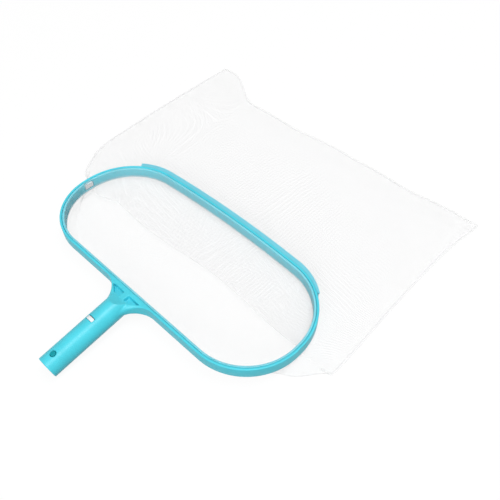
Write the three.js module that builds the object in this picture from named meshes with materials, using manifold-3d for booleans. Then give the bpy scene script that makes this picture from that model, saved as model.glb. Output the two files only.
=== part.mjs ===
// A leaf skimmer net for a swimming pool: a moulded hoop with a short pole sleeve, a lip along its
// front edge, a ring that traps the mesh bag's hem, and a sprung V clip in the sleeve.
//
// Millimetres, +Z up. The net lies on the table z = 0, on the lower edge of its sleeve's mouth and on
// its bag. The sleeve points along -Y and the bag lies along +Y.

import * as THREE from "three";
import { mergeVertices } from "three/addons/utils/BufferGeometryUtils.js";
import Module from "manifold-3d";

const wasm = await Module();
wasm.setup();

// ---- Driving dimensions ------------------------------------------------------------------------

const seatGap = 0.3; // between pieces that touch on the real net

const hoopLength = 408.5; // outside, end to end
const endRadius = 87.3; // of each end, and from the hoop's middle to its back
const cornerTightening = 5.3; // how much less the radius of the two corners beside the sleeve is
const frontBow = 4.2; // how far the front edge bows out in its middle
const hoopHeight = 16;
const railWall = 3; // upright wall of the rail
const shelfHeight = 1.6; // flange that carries the ring

const ringWidth = 3;
const ringBelowRim = 0.8;
const ringEndGap = 16; // between the ring's two ends, at the hoop's left end
const ringGapBack = 3.5; // from the hoop's middle back to that gap's middle

const hemThickness = 0.6;
const hemBelowRim = 1;
const hemBelowHoop = 0.4; // how far the hem hangs out of the rail

const lipThickness = 2;
const lipBelowRim = 1.2;
const lipFlangeDepth = 3; // how far the lip reaches in under the rail
const lipFlangeHeight = 1;
const lipReach = 7.2; // how far its blade stands out in front of the hoop
const lipAside = 3.6; // the blade's edge also lies this far to the left of the rail's
const bladeHeight = 2;
const lipWrap = THREE.MathUtils.degToRad(36.3); // round each end of the hoop

const sleeveTilt = THREE.MathUtils.degToRad(8.3); // down from the hoop's plane
const sleeveAxisDrop = 5.5; // of its axis below the rim, at the hoop's back
const sleeveLength = 125.5;
const sleeveMouthRadius = 14.3; // slides into a pole of 1 1/4 inch
const sleeveTaper = 0.5; // wider at the neck
const sleeveWall = 2.2;
const boreDepth = 80;

const webFillet = 30; // the two sweeps from the sleeve into the hoop
const rampSlope = Math.tan(THREE.MathUtils.degToRad(23.5));
const rampBehindPocket = 1.4; // where the top ramp begins
const rampBottomStart = 6; // where the bottom ramp begins, behind the hoop
const pocketDepth = 5;
const pocketStart = 3; // behind the hoop
const pocketLength = 8.4; // along the sleeve
const pocketRib = 8; // the rib left between the two pockets
const pocketWideEnd = 25.9; // from the middle to a pocket's outer corner, at the hoop
const pocketNarrowEnd = 14;

const buttonRadius = 3.5;
const buttonProud = 0.8; // above the sleeve
const buttonDome = 1.6;
const buttonTopRadius = 2.6;
const buttonHoleClearance = 0.35;
const buttonFromMouth = 15.2;

const windowLength = 5.8; // along the sleeve
const windowRight = 3.3; // from the sleeve's middle to the window's two sides
const windowLeft = 9.3;
const windowFromMouth = 72;
const plugSlit = 0.9; // left open beside the plug, towards the hoop
const plugPegSide = 3.4;
const plugPegDepth = 3;

const clipWidth = 10;
const clipThickness = 1.8;
const bowLength = 6;
const bowInBore = 4.1; // from the bore's wall to the bow
const armRootHeight = 3; // of an arm's middle above the sleeve's axis
const armPastButton = 4.8;

const restHeight = 9.5; // of the hoop's front edge above the table, on the folded bag

const meshThickness = 0.6;
const seamStack = meshThickness * 2 + seatGap; // two layers of mesh at a seam
const bagPastLeft = 77; // of the left side seam past the bag's mouth
const bagPastRight = 47.5;
const bagPastFront = 220; // of the bottom seam in front of the hoop
const bagSkew = 0.02; // slope of the bottom seam, further out to the right
const cornerReach = 45; // the left corner is pulled out this much further
const tapeWidth = 3;
const foldLine = 8; // the far panel is folded back here, in front of the hoop's middle
const foldRadius = 0.9;
const leastFold = 3; // depth of the fold at the hoop's ends
const meshDrop = 45; // the mesh comes down from the hoop to the table in this distance
const spreadShare = 0.2; // share of its length in which the bag spreads past the hoop's ends
const sideSlope = 0.76; // share of the half width over which the far panel stays level
const endSlope = 37; // the far panel comes down to the bottom seam in this distance

// ---- Sizes that follow --------------------------------------------------------------------------

const endCentre = hoopLength / 2 - endRadius;
const cornerRadius = endRadius - cornerTightening;
const cornerCentre = hoopLength / 2 - cornerRadius;
const hoopBack = -endRadius;
const hoopFront = endRadius + frontBow;
const frontRadius = (hoopFront ** 2 - endRadius ** 2 + endCentre ** 2) / (2 * frontBow);
const frontTurn = Math.asin(endCentre / (frontRadius - endRadius)); // of the front's arc, each way

const ringInset = railWall + seatGap;
const shelfInset = ringInset + ringWidth;
const hemInset = shelfInset + seatGap;
const hoopInset = hemInset + hemThickness;
const bagInset = hemInset + hemThickness / 2;

const sleeveNeckRadius = sleeveMouthRadius + sleeveTaper;
const boreRadius = sleeveMouthRadius - sleeveWall;
const rampTopStart = pocketStart + pocketLength + rampBehindPocket;

const windowFromHoop = sleeveLength - windowFromMouth;
const buttonFromHoop = sleeveLength - buttonFromMouth;
const bowHeight = 2 * (boreRadius - bowInBore);
const bowStart = windowFromHoop - bowLength / 2;
const armRoot = bowStart + bowLength + seatGap;
const armTip = buttonFromHoop + armPastButton;
const armTipHeight = Math.sqrt((boreRadius - seatGap) ** 2 - (clipWidth / 2) ** 2) - clipThickness / 2;

const mouthEnd = hoopLength / 2 - bagInset;
const bagLeft = mouthEnd + bagPastLeft;
const bagRight = mouthEnd + bagPastRight;
const bagReach = hoopFront + bagPastFront;

const arcSteps = 6; // each arc of the hoop has twice as many facets
const roundSteps = 36; // facets round the sleeve and the buttons

// ---- Solids -------------------------------------------------------------------------------------

const upright = Math.PI / 2;

// Stands a slab up, so that its outline's X and Y run along Y and Z, and its depth along X.
const standing = new THREE.Matrix4().set(0, 0, 1, 0, 1, 0, 0, 0, 0, 1, 0, 0, 0, 0, 0, 1);

/** Turns a closed geometry into a solid that can be joined and cut. */
function solidOf(geometry) {
  const bare = geometry.clone();
  bare.deleteAttribute("normal");
  bare.deleteAttribute("uv");
  const merged = mergeVertices(bare, 1e-4);
  const vertProperties = new Float32Array(merged.attributes.position.array);
  const triVerts = new Uint32Array(merged.index.array);
  return new wasm.Manifold(new wasm.Mesh({ numProp: 3, vertProperties, triVerts }));
}

/** Turns a solid back into a geometry. */
function geometryOf(solid) {
  const mesh = solid.getMesh();
  const geometry = new THREE.BufferGeometry();
  geometry.setAttribute("position", new THREE.BufferAttribute(mesh.vertProperties, 3));
  geometry.setIndex(new THREE.BufferAttribute(mesh.triVerts, 1));
  return geometry;
}

/** Extrudes an outline in the XY plane from one height to another. */
function slab(shape, low, high) {
  const geometry = new THREE.ExtrudeGeometry(shape, {
    depth: high - low,
    bevelEnabled: false,
    curveSegments: arcSteps,
  });
  return geometry.translate(0, 0, low);
}

/** A box from its low corner to its high corner. */
function block(low, high) {
  const size = high.map((value, axis) => value - low[axis]);
  const middle = high.map((value, axis) => (value + low[axis]) / 2);
  return new THREE.BoxGeometry(...size).translate(...middle);
}

/** A solid of revolution about +Z, from radius and height pairs that start and end on the axis. */
function turned(profile) {
  const points = profile.map(([radius, height]) => new THREE.Vector2(radius, height));
  return new THREE.LatheGeometry(points, roundSteps).rotateX(upright);
}

/** A closed sheet of even thickness along a surface, sampled at the given stops. */
function sheet(surface, acrossStops, alongStops, thickness) {
  const grid = acrossStops.map((across) => alongStops.map((along) => surface(across, along)));
  const columns = acrossStops.length;
  const rows = alongStops.length;
  const near = (list, index) => list[THREE.MathUtils.clamp(index, 0, list.length - 1)];
  const positions = [[], []];
  for (let i = 0; i < columns; i += 1) {
    for (let j = 0; j < rows; j += 1) {
      const acrossStep = near(grid, i + 1)[j].clone().sub(near(grid, i - 1)[j]);
      const alongStep = near(grid[i], j + 1).clone().sub(near(grid[i], j - 1));
      const normal = acrossStep.cross(alongStep).setLength(thickness / 2);
      positions[0].push(...grid[i][j].clone().add(normal).toArray());
      positions[1].push(...grid[i][j].clone().sub(normal).toArray());
    }
  }
  const front = (i, j) => i * rows + j;
  const back = (i, j) => columns * rows + i * rows + j;
  const faces = [];
  const quad = (a, b, c, d) => faces.push(a, b, c, a, c, d);
  for (let i = 0; i + 1 < columns; i += 1) {
    for (let j = 0; j + 1 < rows; j += 1) {
      quad(front(i, j), front(i + 1, j), front(i + 1, j + 1), front(i, j + 1));
      quad(back(i, j), back(i, j + 1), back(i + 1, j + 1), back(i + 1, j));
    }
    quad(front(i, 0), back(i, 0), back(i + 1, 0), front(i + 1, 0));
    quad(front(i + 1, rows - 1), back(i + 1, rows - 1), back(i, rows - 1), front(i, rows - 1));
  }
  for (let j = 0; j + 1 < rows; j += 1) {
    quad(front(0, j + 1), back(0, j + 1), back(0, j), front(0, j));
    quad(front(columns - 1, j), back(columns - 1, j), back(columns - 1, j + 1), front(columns - 1, j + 1));
  }
  const geometry = new THREE.BufferGeometry();
  geometry.setAttribute("position", new THREE.Float32BufferAttribute(positions.flat(), 3));
  geometry.setIndex(faces);
  return geometry;
}

/** Evenly spaced stops from a low to a high value. */
function stops(low, high, count) {
  return Array.from({ length: count + 1 }, (_, index) => THREE.MathUtils.lerp(low, high, index / count));
}

// ---- The hoop -----------------------------------------------------------------------------------

/** Adds the hoop's arc in front, from its right end to its left or back again. */
function addFrontArc(path, inset, leftwards, slide = new THREE.Vector2()) {
  const start = leftwards ? upright - frontTurn : upright + frontTurn;
  const end = leftwards ? upright + frontTurn : upright - frontTurn;
  const { x, y } = slide;
  path.absarc(x, y + hoopFront - frontRadius, frontRadius - inset, start, end, !leftwards);
}

/** The hoop's outline, drawn in from its outer face. */
function racetrack(inset, path = new THREE.Shape()) {
  const cornerY = cornerRadius - endRadius;
  path.moveTo(-cornerCentre, hoopBack + inset);
  path.lineTo(cornerCentre, hoopBack + inset);
  path.absarc(cornerCentre, cornerY, cornerRadius - inset, -upright, 0, false);
  path.absarc(endCentre, 0, endRadius - inset, 0, upright - frontTurn, false);
  addFrontArc(path, inset, true);
  path.absarc(-endCentre, 0, endRadius - inset, upright + frontTurn, Math.PI, false);
  path.absarc(-cornerCentre, cornerY, cornerRadius - inset, Math.PI, Math.PI + upright, false);
  return path;
}

/** A quarter of that outline, from its middle to its right end; side is -1 near or 1 in front. */
function quarter(inset, side) {
  const path = new THREE.Path();
  if (side < 0) {
    path.moveTo(0, hoopBack + inset);
    path.lineTo(cornerCentre, hoopBack + inset);
    path.absarc(cornerCentre, cornerRadius - endRadius, cornerRadius - inset, -upright, 0, false);
    return path.lineTo(hoopLength / 2 - inset, 0);
  }
  path.absarc(0, hoopFront - frontRadius, frontRadius - inset, upright, upright - frontTurn, true);
  return path.absarc(endCentre, 0, endRadius - inset, upright - frontTurn, 0, true);
}

/** A closed band round the hoop between two insets and two heights. */
function band(outerInset, innerInset, low, high) {
  const shape = racetrack(outerInset);
  shape.holes.push(racetrack(innerInset, new THREE.Path()));
  return slab(shape, low, high);
}

/** An open band along the hoop's front, wrapped round both ends; its outer edge may be slid aside. */
function frontBand(outerInset, innerInset, low, high, slide = new THREE.Vector2()) {
  const outer = endRadius - outerInset;
  const inner = endRadius - innerInset;
  const right = upright - frontTurn;
  const left = upright + frontTurn;
  const { x, y } = slide;
  const shape = new THREE.Shape();
  shape.absarc(endCentre + x, y, outer, upright - lipWrap, right, false);
  addFrontArc(shape, outerInset, true, slide);
  shape.absarc(x - endCentre, y, outer, left, upright + lipWrap, false);
  shape.absarc(-endCentre, 0, inner, upright + lipWrap, left, true);
  addFrontArc(shape, innerInset, false);
  shape.absarc(endCentre, 0, inner, right, upright - lipWrap, true);
  return slab(shape, low, high);
}

/** Rail: an upright wall with a flange inside its foot. */
function hoopRail() {
  const wall = solidOf(band(0, railWall, -hoopHeight, 0));
  const shelf = solidOf(band(railWall / 2, shelfInset, -hoopHeight, shelfHeight - hoopHeight));
  return geometryOf(wall.add(shelf));
}

/** Ring that stands on the flange and traps the hem, open at the hoop's left end. */
function retainingRing() {
  const ring = solidOf(band(ringInset, shelfInset, shelfHeight + seatGap - hoopHeight, -ringBelowRim));
  const end = -hoopLength / 2;
  const back = -ringGapBack - ringEndGap / 2;
  const gap = block([end, back, -hoopHeight], [end + 2 * hoopInset, back + ringEndGap, 0]);
  return geometryOf(ring.subtract(solidOf(gap)));
}

/** Hem of the bag's mouth, inside the ring. */
function mouthHem() {
  return geometryOf(solidOf(band(hemInset, hoopInset, -hoopHeight - hemBelowHoop, -hemBelowRim)));
}

/** Lip that snaps on to the rail's front, with a flange under the rail's foot and a blade in front. */
function frontLip() {
  const foot = -hoopHeight - seatGap;
  const outer = -seatGap - lipThickness;
  const face = solidOf(frontBand(outer, -seatGap, foot - lipFlangeHeight, -lipBelowRim));
  const root = outer + lipThickness / 2;
  const flange = solidOf(frontBand(root, lipFlangeDepth, foot - lipFlangeHeight, foot));
  const slide = new THREE.Vector2(-lipAside, lipReach);
  const blade = solidOf(frontBand(0, root, -lipBelowRim - bladeHeight, -lipBelowRim, slide));
  return geometryOf(face.add(flange).add(blade));
}

// ---- The sleeve ---------------------------------------------------------------------------------

// The sleeve's own axis is its group's -Y, and it starts at the hoop's back face.
const sleeveFrame = new THREE.Group();
sleeveFrame.position.set(0, hoopBack, -sleeveAxisDrop);
sleeveFrame.rotation.x = sleeveTilt;
sleeveFrame.updateMatrix();

/** The tapered tube, bored from its mouth, in the hoop's frame. */
function sleeveTube() {
  const boreEnd = sleeveLength - boreDepth;
  const profile = [
    [0, 0],
    [sleeveNeckRadius, 0],
    [sleeveMouthRadius, sleeveLength],
    [boreRadius, sleeveLength],
    [boreRadius, boreEnd],
    [0, boreEnd],
  ];
  return solidOf(turned(profile).rotateX(upright).applyMatrix4(sleeveFrame.matrix));
}

/** Everything below the top ramp and above the bottom ramp, seen from the side. */
function rampEnvelope() {
  const run = sleeveLength * 2;
  const top = hoopBack - rampTopStart;
  const bottom = hoopBack - rampBottomStart;
  const side = new THREE.Shape();
  side.moveTo(hoopBack, 0);
  side.lineTo(top, 0);
  side.lineTo(top - run, run * rampSlope);
  side.lineTo(bottom - run, -hoopHeight - run * rampSlope);
  side.lineTo(bottom, -hoopHeight);
  side.lineTo(hoopBack, -hoopHeight);
  const reach = sleeveNeckRadius * 2;
  return solidOf(slab(side, -reach, reach).applyMatrix4(standing));
}

/** The flat web that flares from the sleeve into the hoop. */
function flare() {
  const side = sleeveNeckRadius - seatGap;
  const foot = hoopBack - webFillet;
  const shape = new THREE.Shape();
  shape.moveTo(-side, foot);
  shape.lineTo(side, foot);
  shape.absarc(side + webFillet, foot, webFillet, Math.PI, upright, true);
  shape.absarc(-side - webFillet, foot, webFillet, upright, 0, true);
  return solidOf(slab(shape, -hoopHeight, 0));
}

/** One of the two pockets in the web's top; side is 1 or -1. */
function webPocket(side) {
  const near = hoopBack - pocketStart;
  const far = near - pocketLength;
  const corners = [
    [pocketRib / 2, near],
    [pocketWideEnd, near],
    [pocketNarrowEnd, far],
    [pocketRib / 2, far],
  ];
  const shape = new THREE.Shape(corners.map(([x, y]) => new THREE.Vector2(side * x, y)));
  return solidOf(slab(shape, -pocketDepth, pocketDepth));
}

/** Window in the sleeve's top wall and the button's holes through both walls. */
function sleeveCuts() {
  const along = windowFromHoop;
  const high = sleeveNeckRadius * 2;
  const opening = block(
    [-windowLeft, -along - windowLength / 2, 0],
    [windowRight, -along + windowLength / 2, high],
  );
  const hole = buttonRadius + buttonHoleClearance;
  const drill = turned([[0, -high], [hole, -high], [hole, high], [0, high]]);
  drill.translate(0, -buttonFromHoop, 0);
  const cuts = solidOf(opening).add(solidOf(drill));
  return solidOf(geometryOf(cuts).applyMatrix4(sleeveFrame.matrix));
}

/** Sleeve, ramps and web: the rest of the moulding, drawn clear of the rail. */
function handleSleeve() {
  const rail = solidOf(slab(racetrack(-seatGap), -2 * hoopHeight, hoopHeight));
  return geometryOf(
    sleeveTube()
      .intersect(rampEnvelope())
      .add(flare())
      .subtract(webPocket(1))
      .subtract(webPocket(-1))
      .subtract(sleeveCuts())
      .subtract(rail),
  );
}

// ---- The V clip, in the sleeve's own frame ------------------------------------------------------

/** The clip's thick end, which lies under the window and takes the plug's peg. */
function clipBow() {
  const low = -bowStart - bowLength;
  const body = block(
    [-clipWidth / 2, low, -bowHeight / 2],
    [clipWidth / 2, -bowStart, bowHeight / 2],
  );
  const half = plugPegSide / 2 + seatGap;
  const middle = -windowFromHoop;
  const seat = block(
    [-half, middle - half, bowHeight / 2 - plugPegDepth - seatGap],
    [half, middle + half, bowHeight],
  );
  return geometryOf(solidOf(body).subtract(solidOf(seat)));
}

/** One sprung arm with its button; side is 1 above the axis or -1 below it. */
function clipArm(side) {
  const shape = new THREE.Shape();
  const half = clipThickness / 2;
  shape.moveTo(-armRoot, armRootHeight - half);
  shape.lineTo(-armRoot, armRootHeight + half);
  shape.lineTo(-armTip, armTipHeight + half);
  shape.lineTo(-armTip, armTipHeight - half);
  const strip = slab(shape, -clipWidth / 2, clipWidth / 2).applyMatrix4(standing);
  const share = (buttonFromHoop - armRoot) / (armTip - armRoot);
  const foot = THREE.MathUtils.lerp(armRootHeight, armTipHeight, share);
  const top = sleeveMouthRadius + buttonProud;
  const button = turned([
    [0, foot],
    [buttonRadius, foot],
    [buttonRadius, top - buttonDome],
    [buttonTopRadius, top - buttonDome / 4],
    [buttonTopRadius / 2, top],
    [0, top],
  ]);
  button.translate(0, -buttonFromHoop, 0);
  const geometry = geometryOf(solidOf(strip).add(solidOf(button)));
  return side > 0 ? geometry : geometry.rotateY(Math.PI);
}

/** Plug pressed through the window, with a peg that pins the clip's thick end. */
function anchorPlug() {
  const middle = -windowFromHoop;
  const low = middle - windowLength / 2 + seatGap;
  const high = middle + windowLength / 2 - plugSlit;
  const foot = bowHeight / 2 + seatGap;
  const bar = block([seatGap - windowLeft, low, foot], [windowRight - seatGap, high, sleeveMouthRadius]);
  const round = turned([[0, low], [sleeveMouthRadius, low], [sleeveMouthRadius, high], [0, high]]);
  const head = solidOf(bar).intersect(solidOf(round.rotateX(-upright)));
  const peg = plugPegSide / 2;
  const pin = block(
    [-peg, middle - peg, bowHeight / 2 - plugPegDepth],
    [peg, middle + peg, foot + clipThickness],
  );
  return geometryOf(head.add(solidOf(pin)));
}

// ---- How the net lies on the table --------------------------------------------------------------

const hoopFrame = new THREE.Group();
hoopFrame.add(sleeveFrame);

/** Tilts the hoop so that the sleeve's mouth touches the table and its front edge is held up. */
function layOnTable() {
  const mouth = new THREE.Vector3(0, -sleeveLength, -sleeveMouthRadius).applyMatrix4(sleeveFrame.matrix);
  const front = new THREE.Vector3(0, hoopFront, -hoopHeight);
  const run = front.y - mouth.y;
  const fall = front.z - mouth.z;
  const tilt = Math.acos(restHeight / Math.hypot(run, fall)) - Math.atan2(run, fall);
  hoopFrame.rotation.x = -tilt;
  hoopFrame.updateMatrix();
  hoopFrame.position.z = -mouth.applyMatrix4(hoopFrame.matrix).z;
  hoopFrame.updateMatrix();
}

layOnTable();

// ---- The bag ------------------------------------------------------------------------------------

const layer = meshThickness + seatGap; // from one layer of mesh to the next
const onTable = meshThickness / 2; // middle of the mesh that lies on the table

const mouthQuarters = { back: quarter(bagInset, -1), front: quarter(bagInset, 1) };

/** Point of the bag's mouth, under the hem: share from -1 (left) to 1, side -1 near or 1 far. */
function mouthPoint(share, side) {
  const { x, y } = (side < 0 ? mouthQuarters.back : mouthQuarters.front).getPointAt(Math.abs(share));
  const z = -hoopHeight - hemBelowHoop - layer + meshThickness / 2;
  return new THREE.Vector3(Math.sign(share) * x, y, z).applyMatrix4(hoopFrame.matrix);
}

/** How far the bag has spread from the hoop's width to its own, from 0 to 1. */
function spread(share) {
  const left = Math.max(0, 1 - share / spreadShare);
  return 1 - left * left;
}

/** Point of the bottom seam, in plan. */
function bottomEdge(share) {
  const x = share * (share < 0 ? bagLeft : bagRight);
  const y = bagReach + bagSkew * x + cornerReach * THREE.MathUtils.smoothstep(-share, 0.6, 0.93);
  return new THREE.Vector3(x, y, 0);
}

/** Plan position between a mouth point and the bottom seam. */
function planPoint(start, share, along) {
  const end = bottomEdge(share);
  const x = THREE.MathUtils.lerp(start.x, end.x, spread(along));
  const y = THREE.MathUtils.lerp(start.y, end.y, along);
  return new THREE.Vector3(x, y, 0);
}

/** The near panel, which comes down from the hoop's back and lies on the table. */
function nearPanel(share, along) {
  const start = mouthPoint(share, -1);
  const point = planPoint(start, share, along);
  const folded = 2 * (foldRadius + layer) * Math.abs(share) ** 6;
  const away = Math.min(1, Math.hypot(point.x - start.x, point.y - start.y) / meshDrop);
  point.z = THREE.MathUtils.lerp(start.z - folded, onTable, 1 - (1 - away) ** 2);
  return point;
}

/** The far panel: in from the hoop's front, round the fold, and back out to the bottom seam. */
function farPanel(share, along) {
  const start = mouthPoint(share, 1);
  const fold = Math.min(foldLine, start.y - leastFold);
  if (along < 0) {
    return start.setY(THREE.MathUtils.lerp(fold, start.y, -along));
  }
  const lower = start.z - 2 * foldRadius;
  if (along <= 1) {
    const turn = along * Math.PI;
    const y = fold - foldRadius * Math.sin(turn);
    return new THREE.Vector3(start.x, y, start.z - foldRadius * (1 - Math.cos(turn)));
  }
  const out = along - 1;
  const point = planPoint(new THREE.Vector3(start.x, fold, 0), share, out);
  const edge = nearPanel(Math.sign(share) || 1, out).z + layer;
  const ahead = (bottomEdge(share).y - point.y) / endSlope;
  const level = mouthPoint(0, 1).z - 2 * foldRadius;
  const middle = THREE.MathUtils.lerp(onTable + layer, level, Math.min(1, ahead));
  const side = THREE.MathUtils.smoothstep(Math.abs(share), sideSlope, 1);
  const settled = THREE.MathUtils.smoothstep(out, 0, 0.08);
  point.z = THREE.MathUtils.lerp(lower, THREE.MathUtils.lerp(middle, edge, side), settled);
  return point;
}

/** A seam's tape, beside the two panels' edges. */
function seamTape(edge) {
  return (across, along) => {
    const point = edge(along);
    const step = edge(along + 0.001).sub(edge(along - 0.001));
    const outward = new THREE.Vector3(step.y, -step.x, 0).normalize();
    return point.addScaledVector(outward, seatGap + across * tapeWidth);
  };
}

/** Middle of the two layers at a side seam, from the hoop to the bottom. */
function sideEdge(side) {
  return (along) => {
    const point = nearPanel(side, along);
    return point.setZ(point.z + layer / 2);
  };
}

/** Middle of the two layers at the bottom seam. */
function bottomSeam(share) {
  return bottomEdge(share).setZ(onTable + layer / 2);
}

const acrossBag = stops(-1, 1, 40);
const nearStops = [0, 0.015, 0.03, 0.05, 0.075, 0.1, 0.13, 0.16, 0.2, 0.3, 0.5, 0.7, 0.88, 1];
const farStops = [-1, -0.5, 0, 0.25, 0.5, 0.75, 1, 1.04, 1.08, 1.13, 1.2, 1.3, 1.5, 1.7, 1.86, 1.93, 2];
const tapeStops = stops(spreadShare, 0.995, 12);

// ---- The assembly -------------------------------------------------------------------------------

const teal = { color: 0x6fd3dc, roughness: 0.3, metalness: 0 };
const paleTeal = { color: 0x9adfe4, roughness: 0.35, metalness: 0 };
const clipTeal = { color: 0x2fa6ae, roughness: 0.4, metalness: 0 };
const white = { color: 0xf4f6f7, roughness: 0.5, metalness: 0 };
const mesh = { color: 0xf7f9fa, roughness: 0.9, metalness: 0 };
const tape = { color: 0xe9edef, roughness: 0.9, metalness: 0 };

/** Adds one named piece to a group. */
function add(group, name, geometry, finish) {
  const piece = new THREE.Mesh(geometry, new THREE.MeshStandardMaterial(finish));
  piece.name = name;
  group.add(piece);
}

add(hoopFrame, "hoop_rail", hoopRail(), teal);
add(hoopFrame, "handle_sleeve", handleSleeve(), teal);
add(hoopFrame, "retaining_ring", retainingRing(), teal);
add(hoopFrame, "front_lip", frontLip(), paleTeal);
add(hoopFrame, "mouth_hem", mouthHem(), tape);

add(sleeveFrame, "clip_bow", clipBow(), clipTeal);
add(sleeveFrame, "clip_arm_upper", clipArm(1), clipTeal);
add(sleeveFrame, "clip_arm_lower", clipArm(-1), clipTeal);
add(sleeveFrame, "clip_anchor_plug", anchorPlug(), white);

const bag = new THREE.Group();
add(bag, "bag_near_panel", sheet(nearPanel, acrossBag, nearStops, meshThickness), mesh);
add(bag, "bag_far_panel", sheet(farPanel, acrossBag, farStops, meshThickness), mesh);
const leftTape = seamTape((along) => sideEdge(-1)(1 - along));
const rightTape = seamTape(sideEdge(1));
const bottomTape = seamTape((along) => bottomSeam(-along));
const leftStops = tapeStops.map((along) => 1 - along).reverse();
add(bag, "side_seam_left", sheet(leftTape, [0, 1], leftStops, seamStack), tape);
add(bag, "side_seam_right", sheet(rightTape, [0, 1], tapeStops, seamStack), tape);
add(bag, "bottom_seam", sheet(bottomTape, [0, 1], stops(-0.998, 0.998, 40), seamStack), tape);

const net = new THREE.Group();
net.add(hoopFrame, bag);

export default net;
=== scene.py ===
"""Looks of a pool leaf skimmer net: a moulded hoop with a pole sleeve, and a mesh bag laid flat.

Metres, +Z up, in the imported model's frame. The hoop has a frame of its own, with z = 0 at its rim and
its middle at the origin, and the sleeve has one too, whose -Y is the sleeve's axis.
"""

import logging
import math
from dataclasses import dataclass
from enum import Enum
from typing import Callable, Iterable, Sequence

import bmesh
import bpy
import numpy as np
from mathutils import Matrix, Vector, noise


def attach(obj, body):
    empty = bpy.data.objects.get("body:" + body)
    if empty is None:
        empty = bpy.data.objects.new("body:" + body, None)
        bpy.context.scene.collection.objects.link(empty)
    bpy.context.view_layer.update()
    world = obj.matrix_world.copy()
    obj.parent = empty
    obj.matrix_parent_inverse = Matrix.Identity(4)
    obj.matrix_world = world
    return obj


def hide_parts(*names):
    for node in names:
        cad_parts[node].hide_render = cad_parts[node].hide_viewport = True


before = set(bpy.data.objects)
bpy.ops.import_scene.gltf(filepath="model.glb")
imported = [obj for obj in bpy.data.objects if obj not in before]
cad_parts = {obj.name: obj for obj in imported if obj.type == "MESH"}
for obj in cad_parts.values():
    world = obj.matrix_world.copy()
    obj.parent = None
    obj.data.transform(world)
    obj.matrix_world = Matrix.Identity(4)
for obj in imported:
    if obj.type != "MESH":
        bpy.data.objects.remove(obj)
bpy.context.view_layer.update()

MM = 0.001
MERGE_DISTANCE = 1e-7
LEAST_RADIUS = 1e-6
CLOTH_LAYOUT = "cloth"
log = logging.getLogger("skimmer")

Plan = Sequence[tuple[float, float]]
Place = tuple[Vector, Vector]


class Body(str, Enum):
    """The model's bodies."""

    HEAD = "net_head"
    UPPER_ARM = "upper_button_arm"
    LOWER_ARM = "lower_button_arm"


class Slot(str, Enum):
    """The record's material slots."""

    FRAME = "frame_plastic"
    LIP = "lip_plastic"
    CLIP = "clip_plastic"
    PLUG = "plug_plastic"
    NET = "bag_mesh"
    TAPE = "seam_tape"


class Side(Enum):
    """A side of the web, as a sign."""

    LEFT = -1
    RIGHT = 1


class Half(Enum):
    """The half of the hoop that one of the bag's panels hangs from."""

    NEAR = "near"
    FAR = "far"


class Arm(str, Enum):
    """One of the clip's two arms."""

    UPPER = "upper"
    LOWER = "lower"


class Seam(str, Enum):
    """One of the bag's three seams."""

    LEFT = "left"
    RIGHT = "right"
    BOTTOM = "bottom"


class Join(str, Enum):
    """What is done with two solids."""

    ADD = "UNION"
    CUT = "DIFFERENCE"
    COMMON = "INTERSECT"


# ---- Sizes --------------------------------------------------------------------------------------


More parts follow.
